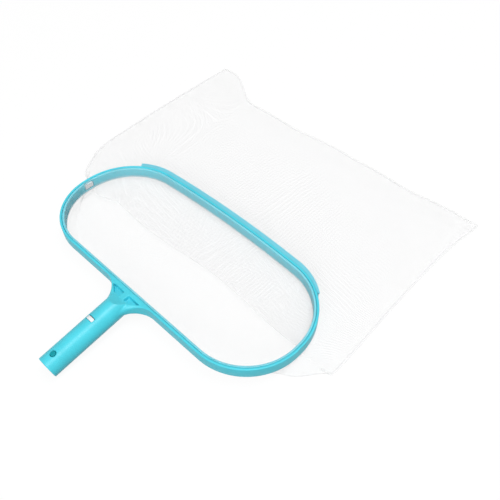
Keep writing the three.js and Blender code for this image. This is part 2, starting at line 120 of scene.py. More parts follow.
@dataclass(frozen=True)
class Sizes:
    """The net's sizes, in metres, as the model has them."""

    gap: float = 0.3 * MM
    hoop_length: float = 408.5 * MM
    end_radius: float = 87.3 * MM
    corner_radius: float = 82 * MM
    front_bow: float = 4.2 * MM
    hoop_height: float = 16 * MM
    rail_wall: float = 3 * MM
    shelf_height: float = 1.6 * MM
    ring_width: float = 3 * MM
    ring_below_rim: float = 0.8 * MM
    ring_end_gap: float = 16 * MM
    ring_gap_back: float = 3.5 * MM
    lip_thickness: float = 2 * MM
    lip_below_rim: float = 1.2 * MM
    lip_flange_depth: float = 3 * MM
    lip_reach: float = 7.2 * MM
    lip_aside: float = 3.6 * MM
    blade_height: float = 2 * MM
    lip_wrap: float = math.radians(36.3)
    sleeve_tilt: float = math.radians(8.3)
    sleeve_axis_drop: float = 5.5 * MM
    sleeve_length: float = 125.5 * MM
    sleeve_mouth_radius: float = 14.3 * MM
    sleeve_taper: float = 0.5 * MM
    sleeve_wall: float = 2.2 * MM
    bore_depth: float = 80 * MM
    web_fillet: float = 30 * MM
    ramp_angle: float = math.radians(23.5)
    ramp_top_start: float = 12.8 * MM
    ramp_bottom_start: float = 6 * MM
    pocket_depth: float = 5 * MM
    pocket_start: float = 3 * MM
    pocket_length: float = 8.4 * MM
    pocket_rib: float = 8 * MM
    pocket_wide_end: float = 25.9 * MM
    pocket_narrow_end: float = 14 * MM
    button_radius: float = 3.5 * MM
    button_proud: float = 0.8 * MM
    button_dome: float = 1.6 * MM
    button_top_radius: float = 2.6 * MM
    hole_clearance: float = 0.35 * MM
    button_from_mouth: float = 15.2 * MM
    window_length: float = 5.8 * MM
    window_right: float = 3.3 * MM
    window_left: float = 9.3 * MM
    window_from_mouth: float = 72 * MM
    plug_slit: float = 0.9 * MM
    clip_width: float = 10 * MM
    clip_thickness: float = 1.8 * MM
    bow_length: float = 6 * MM
    bow_in_bore: float = 4.1 * MM
    arm_root_height: float = 3 * MM
    arm_past_button: float = 4.8 * MM
    rest_height: float = 9.5 * MM

    @property
    def hoop_back(self) -> float:
        """Y of the hoop's outer face beside the sleeve."""
        return -self.end_radius

    @property
    def hoop_front(self) -> float:
        """Y of the hoop's outer face in front."""
        return self.end_radius + self.front_bow

    @property
    def ring_inset(self) -> float:
        """From the hoop's outer face to the ring."""
        return self.rail_wall + self.gap

    @property
    def shelf_inset(self) -> float:
        """From the hoop's outer face to the ring's inner face."""
        return self.ring_inset + self.ring_width

    @property
    def bag_inset(self) -> float:
        """From the hoop's outer face to the bag's mouth."""
        return self.shelf_inset + 2 * self.gap

    @property
    def neck_radius(self) -> float:
        """The sleeve's radius where it meets the hoop."""
        return self.sleeve_mouth_radius + self.sleeve_taper

    @property
    def bore_radius(self) -> float:
        """The sleeve's inner radius."""
        return self.sleeve_mouth_radius - self.sleeve_wall

    @property
    def window_from_hoop(self) -> float:
        """Along the sleeve, from the hoop to the window's middle."""
        return self.sleeve_length - self.window_from_mouth

    @property
    def button_from_hoop(self) -> float:
        """Along the sleeve, from the hoop to the buttons."""
        return self.sleeve_length - self.button_from_mouth

    def sleeve_in_hoop(self) -> Matrix:
        """Takes the sleeve's own frame to the hoop's."""
        move = Matrix.Translation((0, self.hoop_back, -self.sleeve_axis_drop))
        return move @ Matrix.Rotation(self.sleeve_tilt, 4, "X")

    def hoop_in_row(self) -> Matrix:
        """Tilts the hoop on to the sleeve's mouth, with its front edge held up.

        Returns:
            The matrix from the hoop's frame to the model's.
        """
        mouth = self.sleeve_in_hoop() @ Vector((0, -self.sleeve_length, -self.sleeve_mouth_radius))
        run = self.hoop_front - mouth.y
        fall = -self.hoop_height - mouth.z
        tilt = math.acos(self.rest_height / math.hypot(run, fall)) - math.atan2(run, fall)
        turn = Matrix.Rotation(-tilt, 4, "X")
        return Matrix.Translation((0, 0, -(turn @ mouth).z)) @ turn


SIZES = Sizes()
HOOP = SIZES.hoop_in_row()
SLEEVE = HOOP @ SIZES.sleeve_in_hoop()


# ---- The hoop's outline --------------------------------------------------------------------------


@dataclass(frozen=True)
class StraightLeg:
    """A straight stretch of the outline."""

    start: Vector
    end: Vector

    @property
    def length(self) -> float:
        """The stretch's length."""
        return (self.end - self.start).length

    def at(self, distance: float) -> Place:
        """Point and outward normal at a distance from the stretch's start."""
        along = (self.end - self.start).normalized()
        return self.start + along * distance, Vector((along.y, -along.x))


@dataclass(frozen=True)
class ArcLeg:
    """A round stretch of the outline, turning left."""

    centre: Vector
    radius: float
    begin: float
    sweep: float

    @property
    def length(self) -> float:
        """The stretch's length."""
        return self.radius * self.sweep

    def at(self, distance: float) -> Place:
        """Finds a place on the stretch.

        Args:
            distance: From its start.

        Returns:
            The point and its outward normal.
        """
        angle = self.begin + distance / self.radius
        normal = Vector((math.cos(angle), math.sin(angle)))
        return self.centre + normal * self.radius, normal


class HoopOutline:
    """The hoop's outer edge in plan, walked from the near side's left end towards +X."""

    def __init__(self, sizes: Sizes) -> None:
        """Lays out the stretches.

        Args:
            sizes: The net's sizes.
        """
        half = sizes.hoop_length / 2
        corner_x = half - sizes.corner_radius
        corner_y = sizes.corner_radius - sizes.end_radius
        end_x = half - sizes.end_radius
        front = sizes.hoop_front
        front_radius = (front**2 - sizes.end_radius**2 + end_x**2) / (2 * sizes.front_bow)
        turn = math.asin(end_x / (front_radius - sizes.end_radius))
        quarter = math.pi / 2
        self.end_start = quarter - turn
        self.legs = [
            StraightLeg(Vector((-corner_x, sizes.hoop_back)), Vector((corner_x, sizes.hoop_back))),
            ArcLeg(Vector((corner_x, corner_y)), sizes.corner_radius, -quarter, quarter),
            StraightLeg(Vector((half, corner_y)), Vector((half, 0))),
            ArcLeg(Vector((end_x, 0)), sizes.end_radius, 0, quarter - turn),
            ArcLeg(Vector((0, front - front_radius)), front_radius, quarter - turn, 2 * turn),
            ArcLeg(Vector((-end_x, 0)), sizes.end_radius, quarter + turn, quarter - turn),
            StraightLeg(Vector((-half, 0)), Vector((-half, corner_y))),
            ArcLeg(Vector((-corner_x, corner_y)), sizes.corner_radius, math.pi, quarter),
        ]
        lengths = [leg.length for leg in self.legs]
        near, *_ = lengths
        to_right_end = lengths[:3]
        to_front = lengths[:4]
        to_left_end = lengths[:6]
        self.front_length = lengths[len(to_front)]
        self.length = sum(lengths)
        self.near_middle = near / 2
        self.right_end = sum(to_right_end)
        self.front_middle = sum(to_front) + self.front_length / 2
        self.left_end = sum(to_left_end)

    def at(self, distance: float) -> Place:
        """Finds a place on the outline.

        Args:
            distance: From the walk's start, either way round.

        Returns:
            The point and its outward normal.
        """
        left = distance % self.length
        for leg in self.legs:
            if left <= leg.length:
                return leg.at(left)
            left -= leg.length
        return self.legs[-1].at(self.legs[-1].length)

    def walk(self, begin: float, end: float, spacing: float) -> list[Place]:
        """Evenly spaced points and normals from one distance to another."""
        count = max(2, round((end - begin) / spacing))
        return [self.at(begin + (end - begin) * k / count) for k in range(count + 1)]

    def round(self, spacing: float) -> list[Place]:
        """Points and normals all round the hoop, the last at the first."""
        return self.walk(0, self.length, spacing)

    def mouth(self, share: float, half: Half) -> Place:
        """Finds a place on one half of the outline.

        Args:
            share: From -1 at the hoop's left end to 1 at its right end.
            half: The half.

        Returns:
            The point and its outward normal.
        """
        if half is Half.NEAR:
            return self.at(self.near_middle + share * (self.right_end - self.near_middle))
        return self.at(self.front_middle - share * (self.front_middle - self.right_end))


OUTLINE = HoopOutline(SIZES)


# ---- Meshes --------------------------------------------------------------------------------------


def smoothstep(value: float, low: float, high: float) -> float:
    """A smooth climb from 0 at low to 1 at high."""
    share = min(1.0, max(0.0, (value - low) / (high - low)))
    return share * share * (3 - 2 * share)


def faced_outwards(mesh: bpy.types.Mesh, merge: bool = False) -> bpy.types.Mesh:
    """Turns a mesh's faces outwards.

    Args:
        mesh: The mesh to change.
        merge: True if points in one place are merged first.

    Returns:
        The same mesh.
    """
    work = bmesh.new()
    work.from_mesh(mesh)
    if merge:
        bmesh.ops.remove_doubles(work, verts=work.verts, dist=MERGE_DISTANCE)
    bmesh.ops.recalc_face_normals(work, faces=work.faces)
    work.to_mesh(mesh)
    work.free()
    return mesh


def new_mesh(
    name: str, points: Iterable[Sequence[float]], faces: Iterable[Sequence[int]]
) -> bpy.types.Mesh:
    """Makes a mesh whose faces point outwards where it is closed.

    Args:
        name: The mesh's name.
        points: Its points.
        faces: The points' numbers for each face.

    Returns:
        The mesh.
    """
    mesh = bpy.data.meshes.new(name)
    mesh.from_pydata([tuple(p) for p in points], [], [tuple(f) for f in faces])
    return faced_outwards(mesh)


def new_object(name: str, data: bpy.types.ID) -> bpy.types.Object:
    """Adds an object to the scene.

    Args:
        name: The object's name.
        data: The mesh, curve, lamp or camera that it holds.

    Returns:
        The object.
    """
    item = bpy.data.objects.new(name, data)
    bpy.context.scene.collection.objects.link(item)
    return item


def loft(name: str, rings: Sequence[Sequence[Vector]]) -> bpy.types.Mesh:
    """Makes a closed skin over rings of points.

    Args:
        name: The mesh's name.
        rings: Rings with the same number of points each; the first and the last are filled.

    Returns:
        The mesh.
    """
    count = len(rings[0])
    points = [point for ring in rings for point in ring]
    faces: list[Sequence[int]] = []
    for row in range(len(rings) - 1):
        for k in range(count):
            after = (k + 1) % count
            low, high = row * count, (row + 1) * count
            faces.append((low + k, low + after, high + after, high + k))
    faces.append(range(count))
    faces.append(range((len(rings) - 1) * count, len(rings) * count))
    return new_mesh(name, points, faces)


def lathe(name: str, profile: Plan, segments: int) -> bpy.types.Mesh:
    """Makes a solid turned about +Z.

    Args:
        name: The mesh's name.
        profile: Radius and height pairs that start and end on the axis.
        segments: How many flat sides it has.

    Returns:
        The mesh.
    """
    points = [Vector((0, 0, profile[0][1])), Vector((0, 0, profile[-1][1]))]
    inner = profile[1:-1]
    for radius, height in inner:
        for k in range(segments):
            angle = 2 * math.pi * k / segments
            points.append(Vector((radius * math.cos(angle), radius * math.sin(angle), height)))
    faces: list[Sequence[int]] = []
    for k in range(segments):
        after = (k + 1) % segments
        for row in range(len(inner) - 1):
            low = 2 + row * segments
            faces.append((low + k, low + after, low + segments + after, low + segments + k))
        last = 2 + (len(inner) - 1) * segments
        faces.append((0, 2 + after, 2 + k))
        faces.append((1, last + k, last + after))
    return new_mesh(name, points, faces)


def prism(name: str, outline: Plan, low: float, high: float) -> bpy.types.Mesh:
    """An outline in X and Y, carried from one height to another."""
    rings = [[Vector((x, y, z)) for x, y in outline] for z in (low, high)]
    return loft(name, rings)


def rectangle(left: float, right: float, low: float, high: float) -> Plan:
    """A rectangle's corners, from its low left one towards the right."""
    return [(left, low), (right, low), (right, high), (left, high)]


def rounded(corners: Plan, radius: float, steps: int = 3, most: float = 0.45) -> list[tuple[float, float]]:
    """Rounds the corners of an outline, as far as its sides allow.

    Args:
        corners: The outline.
        radius: The corners' radius.
        steps: Sides in each corner.
        most: The largest share of a side that one corner may use.

    Returns:
        The rounded outline.
    """
    points = []
    count = len(corners)
    for k in range(count):
        before, here, after = (Vector(corners[(k + j) % count]) for j in (-1, 0, 1))
        to_before, to_after = before - here, after - here
        half = to_before.angle(to_after) / 2
        reach = min(radius / math.tan(half), most * to_before.length, most * to_after.length)
        start = here + to_before.normalized() * reach
        end = here + to_after.normalized() * reach
        for j in range(steps + 1):
            share = j / steps
            point = start * (1 - share) ** 2 + here * 2 * share * (1 - share) + end * share**2
            points.append((point.x, point.y))
    return points


def evaluated(item: bpy.types.Object) -> bpy.types.Mesh:
    """Applies an object's modifiers.

    Args:
        item: The object, which is removed.

    Returns:
        The finished mesh.
    """
    graph = bpy.context.evaluated_depsgraph_get()
    mesh = bpy.data.meshes.new_from_object(item.evaluated_get(graph))
    bpy.data.objects.remove(item)
    return mesh


def combined(base: bpy.types.Mesh, tools: Sequence[bpy.types.Mesh], join: Join) -> bpy.types.Mesh:
    """Joins meshes to a base, cuts them from it or keeps what they have in common.

    Args:
        base: The mesh to work on.
        tools: The meshes to use, in order.
        join: What is done with each.

    Returns:
        The new mesh.
    """
    body = new_object("combine_body", base)
    helpers = []
    for tool in tools:
        helper = new_object("combine_tool", tool)
        helpers.append(helper)
        step = body.modifiers.new("combine", "BOOLEAN")
        step.operation = join.value
        step.solver = "MANIFOLD"
        step.object = helper
    mesh = evaluated(body)
    for helper in helpers:
        bpy.data.objects.remove(helper)
    return mesh


def softened(mesh: bpy.types.Mesh, voxel: float, rounds: int, pull: float = 0.5) -> bpy.types.Mesh:
    """Rebuilds a mesh at an even grain, with its edges eased as a mould leaves them.

    Args:
        mesh: The mesh.
        voxel: The grain.
        rounds: How many times the edges are eased.
        pull: How far a point goes towards its neighbours in each round.

    Returns:
        The new mesh.
    """
    body = new_object("soften", mesh)
    remesh = body.modifiers.new("grain", "REMESH")
    remesh.mode = "VOXEL"
    remesh.voxel_size = voxel
    ease = body.modifiers.new("ease", "SMOOTH")
    ease.factor = pull
    ease.iterations = rounds
    return evaluated(body)


def smooth_shaded(mesh: bpy.types.Mesh, sharp_over: float = math.radians(40)) -> bpy.types.Mesh:
    """Shades a mesh smooth.

    Args:
        mesh: The mesh to change.
        sharp_over: Edges sharper than this angle stay sharp.

    Returns:
        The same mesh.
    """
    mesh.shade_smooth()
    mesh.set_sharp_from_angle(angle=sharp_over)
    return mesh


# ---- Nodes ---------------------------------------------------------------------------------------


def feed(target: bpy.types.NodeSocket, value: object) -> None:
    """Links a socket to an input, or sets the input's value.

    Args:
        target: The input.
        value: A socket to link, or a plain value.
    """
    if isinstance(value, bpy.types.NodeSocket):
        target.id_data.links.new(value, target)
    else:
        target.default_value = value


def add_node(
    tree: bpy.types.NodeTree, kind: str, inputs: dict | None = None, **settings: object
) -> bpy.types.Node:
    """Adds a node to a tree.

    Args:
        tree: The tree.
        kind: The node's type.
        inputs: What its inputs are fed with.
        **settings: Its properties.

    Returns:
        The node.
    """
    node = tree.nodes.new(kind)
    for key, value in settings.items():
        setattr(node, key, value)
    for key, value in (inputs or {}).items():
        feed(node.inputs[key], value)
    return node


class NodeTool:
    """A Geometry Nodes tree with named inputs, used to make plain meshes."""

    def __init__(self, name: str, inputs: Sequence[tuple[str, str]]) -> None:
        """Starts the tree.

        Args:
            name: The tree's name.
            inputs: Name and socket type of each input after the geometry.
        """
        self.tree = bpy.data.node_groups.new(name, "GeometryNodeTree")
        face = self.tree.interface
        face.new_socket("Geometry", in_out="INPUT", socket_type="NodeSocketGeometry")
        self.identifiers = {}
        for label, kind in inputs:
            socket = face.new_socket(label, in_out="INPUT", socket_type=kind)
            self.identifiers[label] = socket.identifier
        face.new_socket("Geometry", in_out="OUTPUT", socket_type="NodeSocketGeometry")
        self.entry = self.add("NodeGroupInput")
        self.exit = self.add("NodeGroupOutput")

    def add(self, kind: str, inputs: dict | None = None, **settings: object) -> bpy.types.Node:
        """Adds a node to the tree."""
        return add_node(self.tree, kind, inputs, **settings)

    def finish(self, geometry: bpy.types.NodeSocket) -> None:
        """Ends the tree in Realize Instances and Set Material.

        Args:
            geometry: What the tree has made.
        """
        real = self.add("GeometryNodeRealizeInstances", {"Geometry": geometry})
        inputs = {"Geometry": real.outputs["Geometry"], "Material": self.entry.outputs["Finish"]}
        dress = self.add("GeometryNodeSetMaterial", inputs)
        feed(self.exit.inputs["Geometry"], dress.outputs["Geometry"])

    def make(self, carrier: bpy.types.Object, values: dict[str, object]) -> bpy.types.Mesh:
        """Runs the tree.

        Args:
            carrier: The object that goes in, which is removed.
            values: The inputs' values by name.

        Returns:
            The mesh that comes out.
        """
        step = carrier.modifiers.new(self.tree.name, "NODES")
        step.node_group = self.tree
        for label, value in values.items():
            step[self.identifiers[label]] = value
        return evaluated(carrier)


def path_curve(name: str, points: Sequence[Vector], closed: bool) -> bpy.types.Object:
    """Makes a curve object of one straight-sided spline.

    Args:
        name: The curve's name.
        points: The spline's points.
        closed: True if it comes back to its start.

    Returns:
        The curve object.
    """
    data = bpy.data.curves.new(name, "CURVE")
    data.dimensions = "3D"
    spline = data.splines.new("POLY")
    spline.points.add(len(points) - 1)
    for target, point in zip(spline.points, points):
        target.co = (*point, 1)
    spline.use_cyclic_u = closed
    return new_object(name, data)


class SweepTool(NodeTool):
    """Sweeps a profile along a level path: the profile's X points away from the path's left."""

    def __init__(self) -> None:
        """Builds the tree."""
        super().__init__(
            "sweep_profile",
            [
                ("Profile", "NodeSocketObject"),
                ("Close Ends", "NodeSocketBool"),
                ("Finish", "NodeSocketMaterial"),
            ],
        )
        given = self.entry.outputs
        level = self.add("GeometryNodeSetCurveNormal", {"Curve": given["Geometry"]}, mode="Z_UP")
        shape = self.add("GeometryNodeObjectInfo", {"Object": given["Profile"]})
        inputs = {
            "Curve": level.outputs["Curve"],
            "Profile Curve": shape.outputs["Geometry"],
            "Fill Caps": given["Close Ends"],
        }
        sweep = self.add("GeometryNodeCurveToMesh", inputs)
        self.finish(sweep.outputs["Mesh"])

    def sweep(
        self,
        name: str,
        path: Sequence[Place],
        profile: Plan,
        closed: bool,
        material: bpy.types.Material,
        solid: bool = True,
    ) -> bpy.types.Mesh:
        """Sweeps a profile along part of the hoop's outline.

        Args:
            name: The mesh's name.
            path: Points and outward normals of the outline.
            profile: Distance outwards from the outline, and height, of each point.
            closed: True if the path comes back to its start.
            material: The finish.
            solid: False for a cloth whose profile is an open line.

        Returns:
            The swept mesh, in the hoop's frame.
        """
        points = [Vector((p.x, p.y, 0)) for p, _ in (path[:-1] if closed else path)]
        outline = path_curve("sweep_path", points, closed)
        section = path_curve("sweep_section", [Vector((x, -z, 0)) for x, z in profile], solid)
        ends = solid and not closed
        mesh = self.make(outline, {"Profile": section, "Close Ends": ends, "Finish": material})
        bpy.data.objects.remove(section)
        mesh.name = name
        return faced_outwards(mesh, merge=True)


class StitchTool(NodeTool):
    """Lays short stitches of thread along a path."""

    PITCH = 3.2 * MM
    STITCH = 2.4 * MM
    THREAD_RADIUS = 0.17 * MM
    SEGMENTS = 6
    RINGS = 4

    def __init__(self) -> None:
        """Builds the tree."""
        super().__init__(
            "run_stitches",
            [
                ("Pitch", "NodeSocketFloat"),
                ("Stitch Length", "NodeSocketFloat"),
                ("Thread Radius", "NodeSocketFloat"),
                ("Finish", "NodeSocketMaterial"),
            ],
        )
        given = self.entry.outputs
        inputs = {"Curve": given["Geometry"], "Length": given["Pitch"]}
        spaced = self.add("GeometryNodeResampleCurve", inputs, mode="LENGTH")
        tangent = self.add("GeometryNodeInputTangent").outputs["Tangent"]
        turn = self.add("FunctionNodeAlignEulerToVector", {"Vector": tangent}, axis="X")
        inputs = {"Segments": self.SEGMENTS, "Rings": self.RINGS, "Radius": 1}
        bead = self.add("GeometryNodeMeshUVSphere", inputs)
        half = self.add("ShaderNodeMath", {0: given["Stitch Length"], 1: 0.5}, operation="MULTIPLY")
        thread = given["Thread Radius"]
        size = self.add("ShaderNodeCombineXYZ", {"X": half.outputs[0], "Y": thread, "Z": thread})
        inputs = {"Geometry": bead.outputs["Mesh"], "Scale": size.outputs["Vector"]}
        stretch = self.add("GeometryNodeTransform", inputs)
        inputs = {
            "Points": spaced.outputs["Curve"],
            "Instance": stretch.outputs["Geometry"],
            "Rotation": turn.outputs["Rotation"],
        }
        place = self.add("GeometryNodeInstanceOnPoints", inputs)
        self.finish(place.outputs["Instances"])

    def run(self, path: Sequence[Vector], material: bpy.types.Material) -> bpy.types.Mesh:
        """Sews along a path.

        Args:
            path: The seam's points.
            material: The thread's finish.

        Returns:
            The stitches' mesh.
        """
        carrier = path_curve("stitch_path", path, False)
        values = {
            "Pitch": self.PITCH,
            "Stitch Length": self.STITCH,
            "Thread Radius": self.THREAD_RADIUS,
            "Finish": material,
        }
        return self.make(carrier, values)


# ---- Finishes ------------------------------------------------------------------------------------


class Shade:
    """A material's node tree, built around one Principled shader."""

    NOISE_RANGE = (0.3, 0.7)

    def __init__(self, name: str) -> None:
        """Starts a material.

        Args:
            name: The material's name.
        """
        self.material = bpy.data.materials.new(name)
        self.material.use_nodes = True
        self.tree = self.material.node_tree
        self.surface = self.tree.nodes["Principled BSDF"]
        self.place = self.add("ShaderNodeTexCoord").outputs["Object"]

    def add(self, kind: str, inputs: dict | None = None, **settings: object) -> bpy.types.Node:
        """Adds a node to the tree."""
        return add_node(self.tree, kind, inputs, **settings)

    def give(self, label: str, value: object) -> None:
        """Sets or links one of the surface's inputs."""
        feed(self.surface.inputs[label], value)

    def math(self, operation: str, first: object, second: object = 0.0) -> bpy.types.NodeSocket:
        """A Math node's result."""
        return self.add("ShaderNodeMath", {0: first, 1: second}, operation=operation).outputs[0]

    def noise(self, scale: float, detail: float) -> bpy.types.NodeSocket:
        """Noise with so many features in a metre."""
        inputs = {"Vector": self.place, "Scale": scale, "Detail": detail}
        return self.add("ShaderNodeTexNoise", inputs).outputs["Fac"]

    def between(self, factor: object, low: Sequence[float], high: Sequence[float]) -> bpy.types.NodeSocket:
        """Mixes two colours.

        Args:
            factor: 0 for the first, 1 for the second.
            low: The first.
            high: The second.

        Returns:
            The colour between.
        """
        inputs = {"Factor": factor, "A": (*low, 1), "B": (*high, 1)}
        return self.add("ShaderNodeMix", inputs, data_type="RGBA").outputs["Result"]

    def spread(self, source: bpy.types.NodeSocket, low: float, high: float) -> bpy.types.NodeSocket:
        """Carries noise on to a range.

        Args:
            source: The noise, most of which lies in NOISE_RANGE.
            low: The range's lower end.
            high: Its upper end.

        Returns:
            The value in the range.
        """
        least, most = self.NOISE_RANGE
        inputs = {"Value": source, "From Min": least, "From Max": most, "To Min": low, "To Max": high}
        return self.add("ShaderNodeMapRange", inputs).outputs["Result"]

    def dull(self, roughness: float, gloss: float, sheen: float) -> None:
        """Sets how a cloth's surface shines.

        Args:
            roughness: Its roughness.
            gloss: How strongly it mirrors.
            sheen: Its soft edge light.
        """
        self.give("Roughness", roughness)
        self.give("Specular IOR Level", gloss)
        self.give("Sheen Weight", sheen)

    def bump(self, height: bpy.types.NodeSocket, strength: float, distance: float) -> None:
        """Raises the surface's relief from a height."""
        inputs = {"Height": height, "Strength": strength, "Distance": distance}
        self.give("Normal", self.add("ShaderNodeBump", inputs).outputs["Normal"])


@dataclass(frozen=True)
class MouldedPlastic:
    """Injection moulded plastic: a faint flow mottle, and gloss broken by a fine skin."""

    name: str
    colour: tuple[float, float, float]
    roughness: float
    mottle: float = 0.05
    skin: float = 0.02
    gloss: float = 0.5
    refraction: float = 1.49
    smoother: float = 0.04
    rougher: float = 0.05
    skin_depth: float = 0.1 * MM
    flow_noise: tuple[float, float] = (38, 4)
    gloss_noise: tuple[float, float] = (260, 3)
    skin_noise: tuple[float, float] = (1500, 2)

    def make(self) -> bpy.types.Material:
        """Builds the material.

        Returns:
            The material.
        """
        shade = Shade(self.name)
        low = tuple(c * (1 - self.mottle) for c in self.colour)
        high = tuple(min(1, c * (1 + self.mottle)) for c in self.colour)
        flow = shade.spread(shade.noise(*self.flow_noise), 0, 1)
        shade.give("Base Color", shade.between(flow, low, high))
        least, most = self.roughness - self.smoother, self.roughness + self.rougher
        gloss = shade.spread(shade.noise(*self.gloss_noise), least, most)
        shade.give("Roughness", gloss)
        shade.give("IOR", self.refraction)
        shade.give("Specular IOR Level", self.gloss)
        shade.bump(shade.noise(*self.skin_noise), self.skin, self.skin_depth)
        return shade.material


@dataclass(frozen=True)
class MeshCloth:
    """Fine net of crossed threads with open holes, laid out on the piece's own UV map, in metres."""

    name: str
    colour: tuple[float, float, float]
    opacity: float
    pitch: float = 1.25 * MM
    thread: float = 0.2
    dimmest: float = 0.985
    roughness: float = 0.75
    gloss: float = 0.25
    sheen: float = 0.15
    relief: float = 0.25
    relief_depth: float = 0.15 * MM
    tone_noise: tuple[float, float] = (30, 3)

    def make(self) -> bpy.types.Material:
        """Builds the material.

        Returns:
            The material.
        """
        shade = Shade(self.name)
        spot = shade.add("ShaderNodeUVMap", uv_map=CLOTH_LAYOUT).outputs["UV"]
        parts = shade.add("ShaderNodeSeparateXYZ", {"Vector": spot}).outputs
        ridges = []
        for axis in ("X", "Y"):
            cell = shade.math("FRACT", shade.math("DIVIDE", parts[axis], self.pitch))
            away = shade.math("ABSOLUTE", shade.math("SUBTRACT", cell, 0.5))
            ridges.append(shade.math("SUBTRACT", 1.0, shade.math("DIVIDE", away, self.thread / 2)))
        height = shade.math("MAXIMUM", *ridges)
        solid = shade.math("GREATER_THAN", height, 0.0)
        tone = shade.spread(shade.noise(*self.tone_noise), 0, 1)
        dim = tuple(c * self.dimmest for c in self.colour)
        shade.give("Base Color", shade.between(tone, dim, self.colour))
        shade.give("Alpha", shade.math("MULTIPLY", solid, self.opacity))
        shade.dull(self.roughness, self.gloss, self.sheen)
        shade.bump(height, self.relief, self.relief_depth)
        return shade.material


@dataclass(frozen=True)
class BindingTape:
    """Narrow woven tape: slanting ribs and a soft tone."""

    name: str
    colour: tuple[float, float, float]
    rib: float = 0.7 * MM
    opacity: float = 1.0
    dimmest: float = 0.965
    roughness: float = 0.8
    gloss: float = 0.2
    sheen: float = 0.2
    rib_share: float = 0.3
    relief: float = 0.3
    relief_depth: float = 0.1 * MM
    fibre_noise: tuple[float, float] = (900, 4)

    def make(self) -> bpy.types.Material:
        """Builds the material.

        Returns:
            The material.
        """
        shade = Shade(self.name)
        parts = shade.add("ShaderNodeSeparateXYZ", {"Vector": shade.place}).outputs
        slant = shade.math("ADD", parts["X"], parts["Y"])
        turns = shade.math("SINE", shade.math("MULTIPLY", slant, 2 * math.pi / self.rib))
        fibre = shade.noise(*self.fibre_noise)
        height = shade.math("ADD", shade.math("MULTIPLY", turns, self.rib_share), fibre)
        tone = shade.spread(fibre, 0, 1)
        dim = tuple(c * self.dimmest for c in self.colour)
        shade.give("Base Color", shade.between(tone, dim, self.colour))
        shade.dull(self.roughness, self.gloss, self.sheen)
        shade.give("Alpha", self.opacity)
        shade.bump(height, self.relief, self.relief_depth)
        return shade.material


AQUA = MouldedPlastic("frame_aqua", (0.06, 0.61, 0.73), 0.4, gloss=0.55)
PALE_AQUA = MouldedPlastic("lip_pale_aqua", (0.16, 0.6, 0.73), 0.42, mottle=0.04)
# The clip's own aqua, darkened further: painted shade for the hole round each button.
CLIP_AQUA_PLUS_SHADE = MouldedPlastic("clip_aqua_plus_painted_shade", (0.003, 0.29, 0.34), 0.5, gloss=0.2)
# The plug's plain white is a painted highlight in the sleeve's window.
PLUG_HIGHLIGHT_WHITE = MouldedPlastic("plug_painted_highlight_white", (0.84, 0.87, 0.88), 0.42, mottle=0.02)
NET_CLOTH = MeshCloth("bag_net", (0.92, 0.921, 0.926), opacity=0.44)
# The hem's faint blue tint is a painted reflection of the aqua ring under it.
HEM_CLOTH = MeshCloth("hem_net", (0.96, 0.975, 0.98), pitch=0.8 * MM, thread=0.3, opacity=0.34)
TAPE = BindingTape("seam_binding", (0.97, 0.97, 0.975), opacity=0.22)
GATHER = BindingTape("gathered_net", (0.96, 0.96, 0.97), rib=0.9 * MM, opacity=0.9)
THREAD = BindingTape("seam_thread", (0.97, 0.97, 0.975), rib=0.4 * MM)


def settle(
    name: str,
    mesh: bpy.types.Mesh,
    material: bpy.types.Material,
    slot: Slot,
    body: Body,
    nodes: Sequence[str] = (),
    matrix: Matrix | None = None,
) -> bpy.types.Object:
    """Puts a finished piece in the scene.

    Args:
        name: The piece's name.
        mesh: Its mesh.
        material: Its finish.
        slot: The record's material slot; not used.
        body: The body it moves with.
        nodes: The model's nodes that it stands for.
        matrix: Takes the mesh to the model's frame, where it isn't there yet.

    Returns:
        The piece.
    """
    if matrix is not None:
        mesh.transform(matrix)
    mesh.materials.clear()
    mesh.materials.append(material)
    piece = new_object(name, mesh)
    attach(piece, body.value)
    if nodes:
        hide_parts(*nodes)
    log.info("%s: %d faces on %s", name, len(mesh.polygons), body.value)
    return piece


# ---- The frame moulding, ring and lip ------------------------------------------------------------


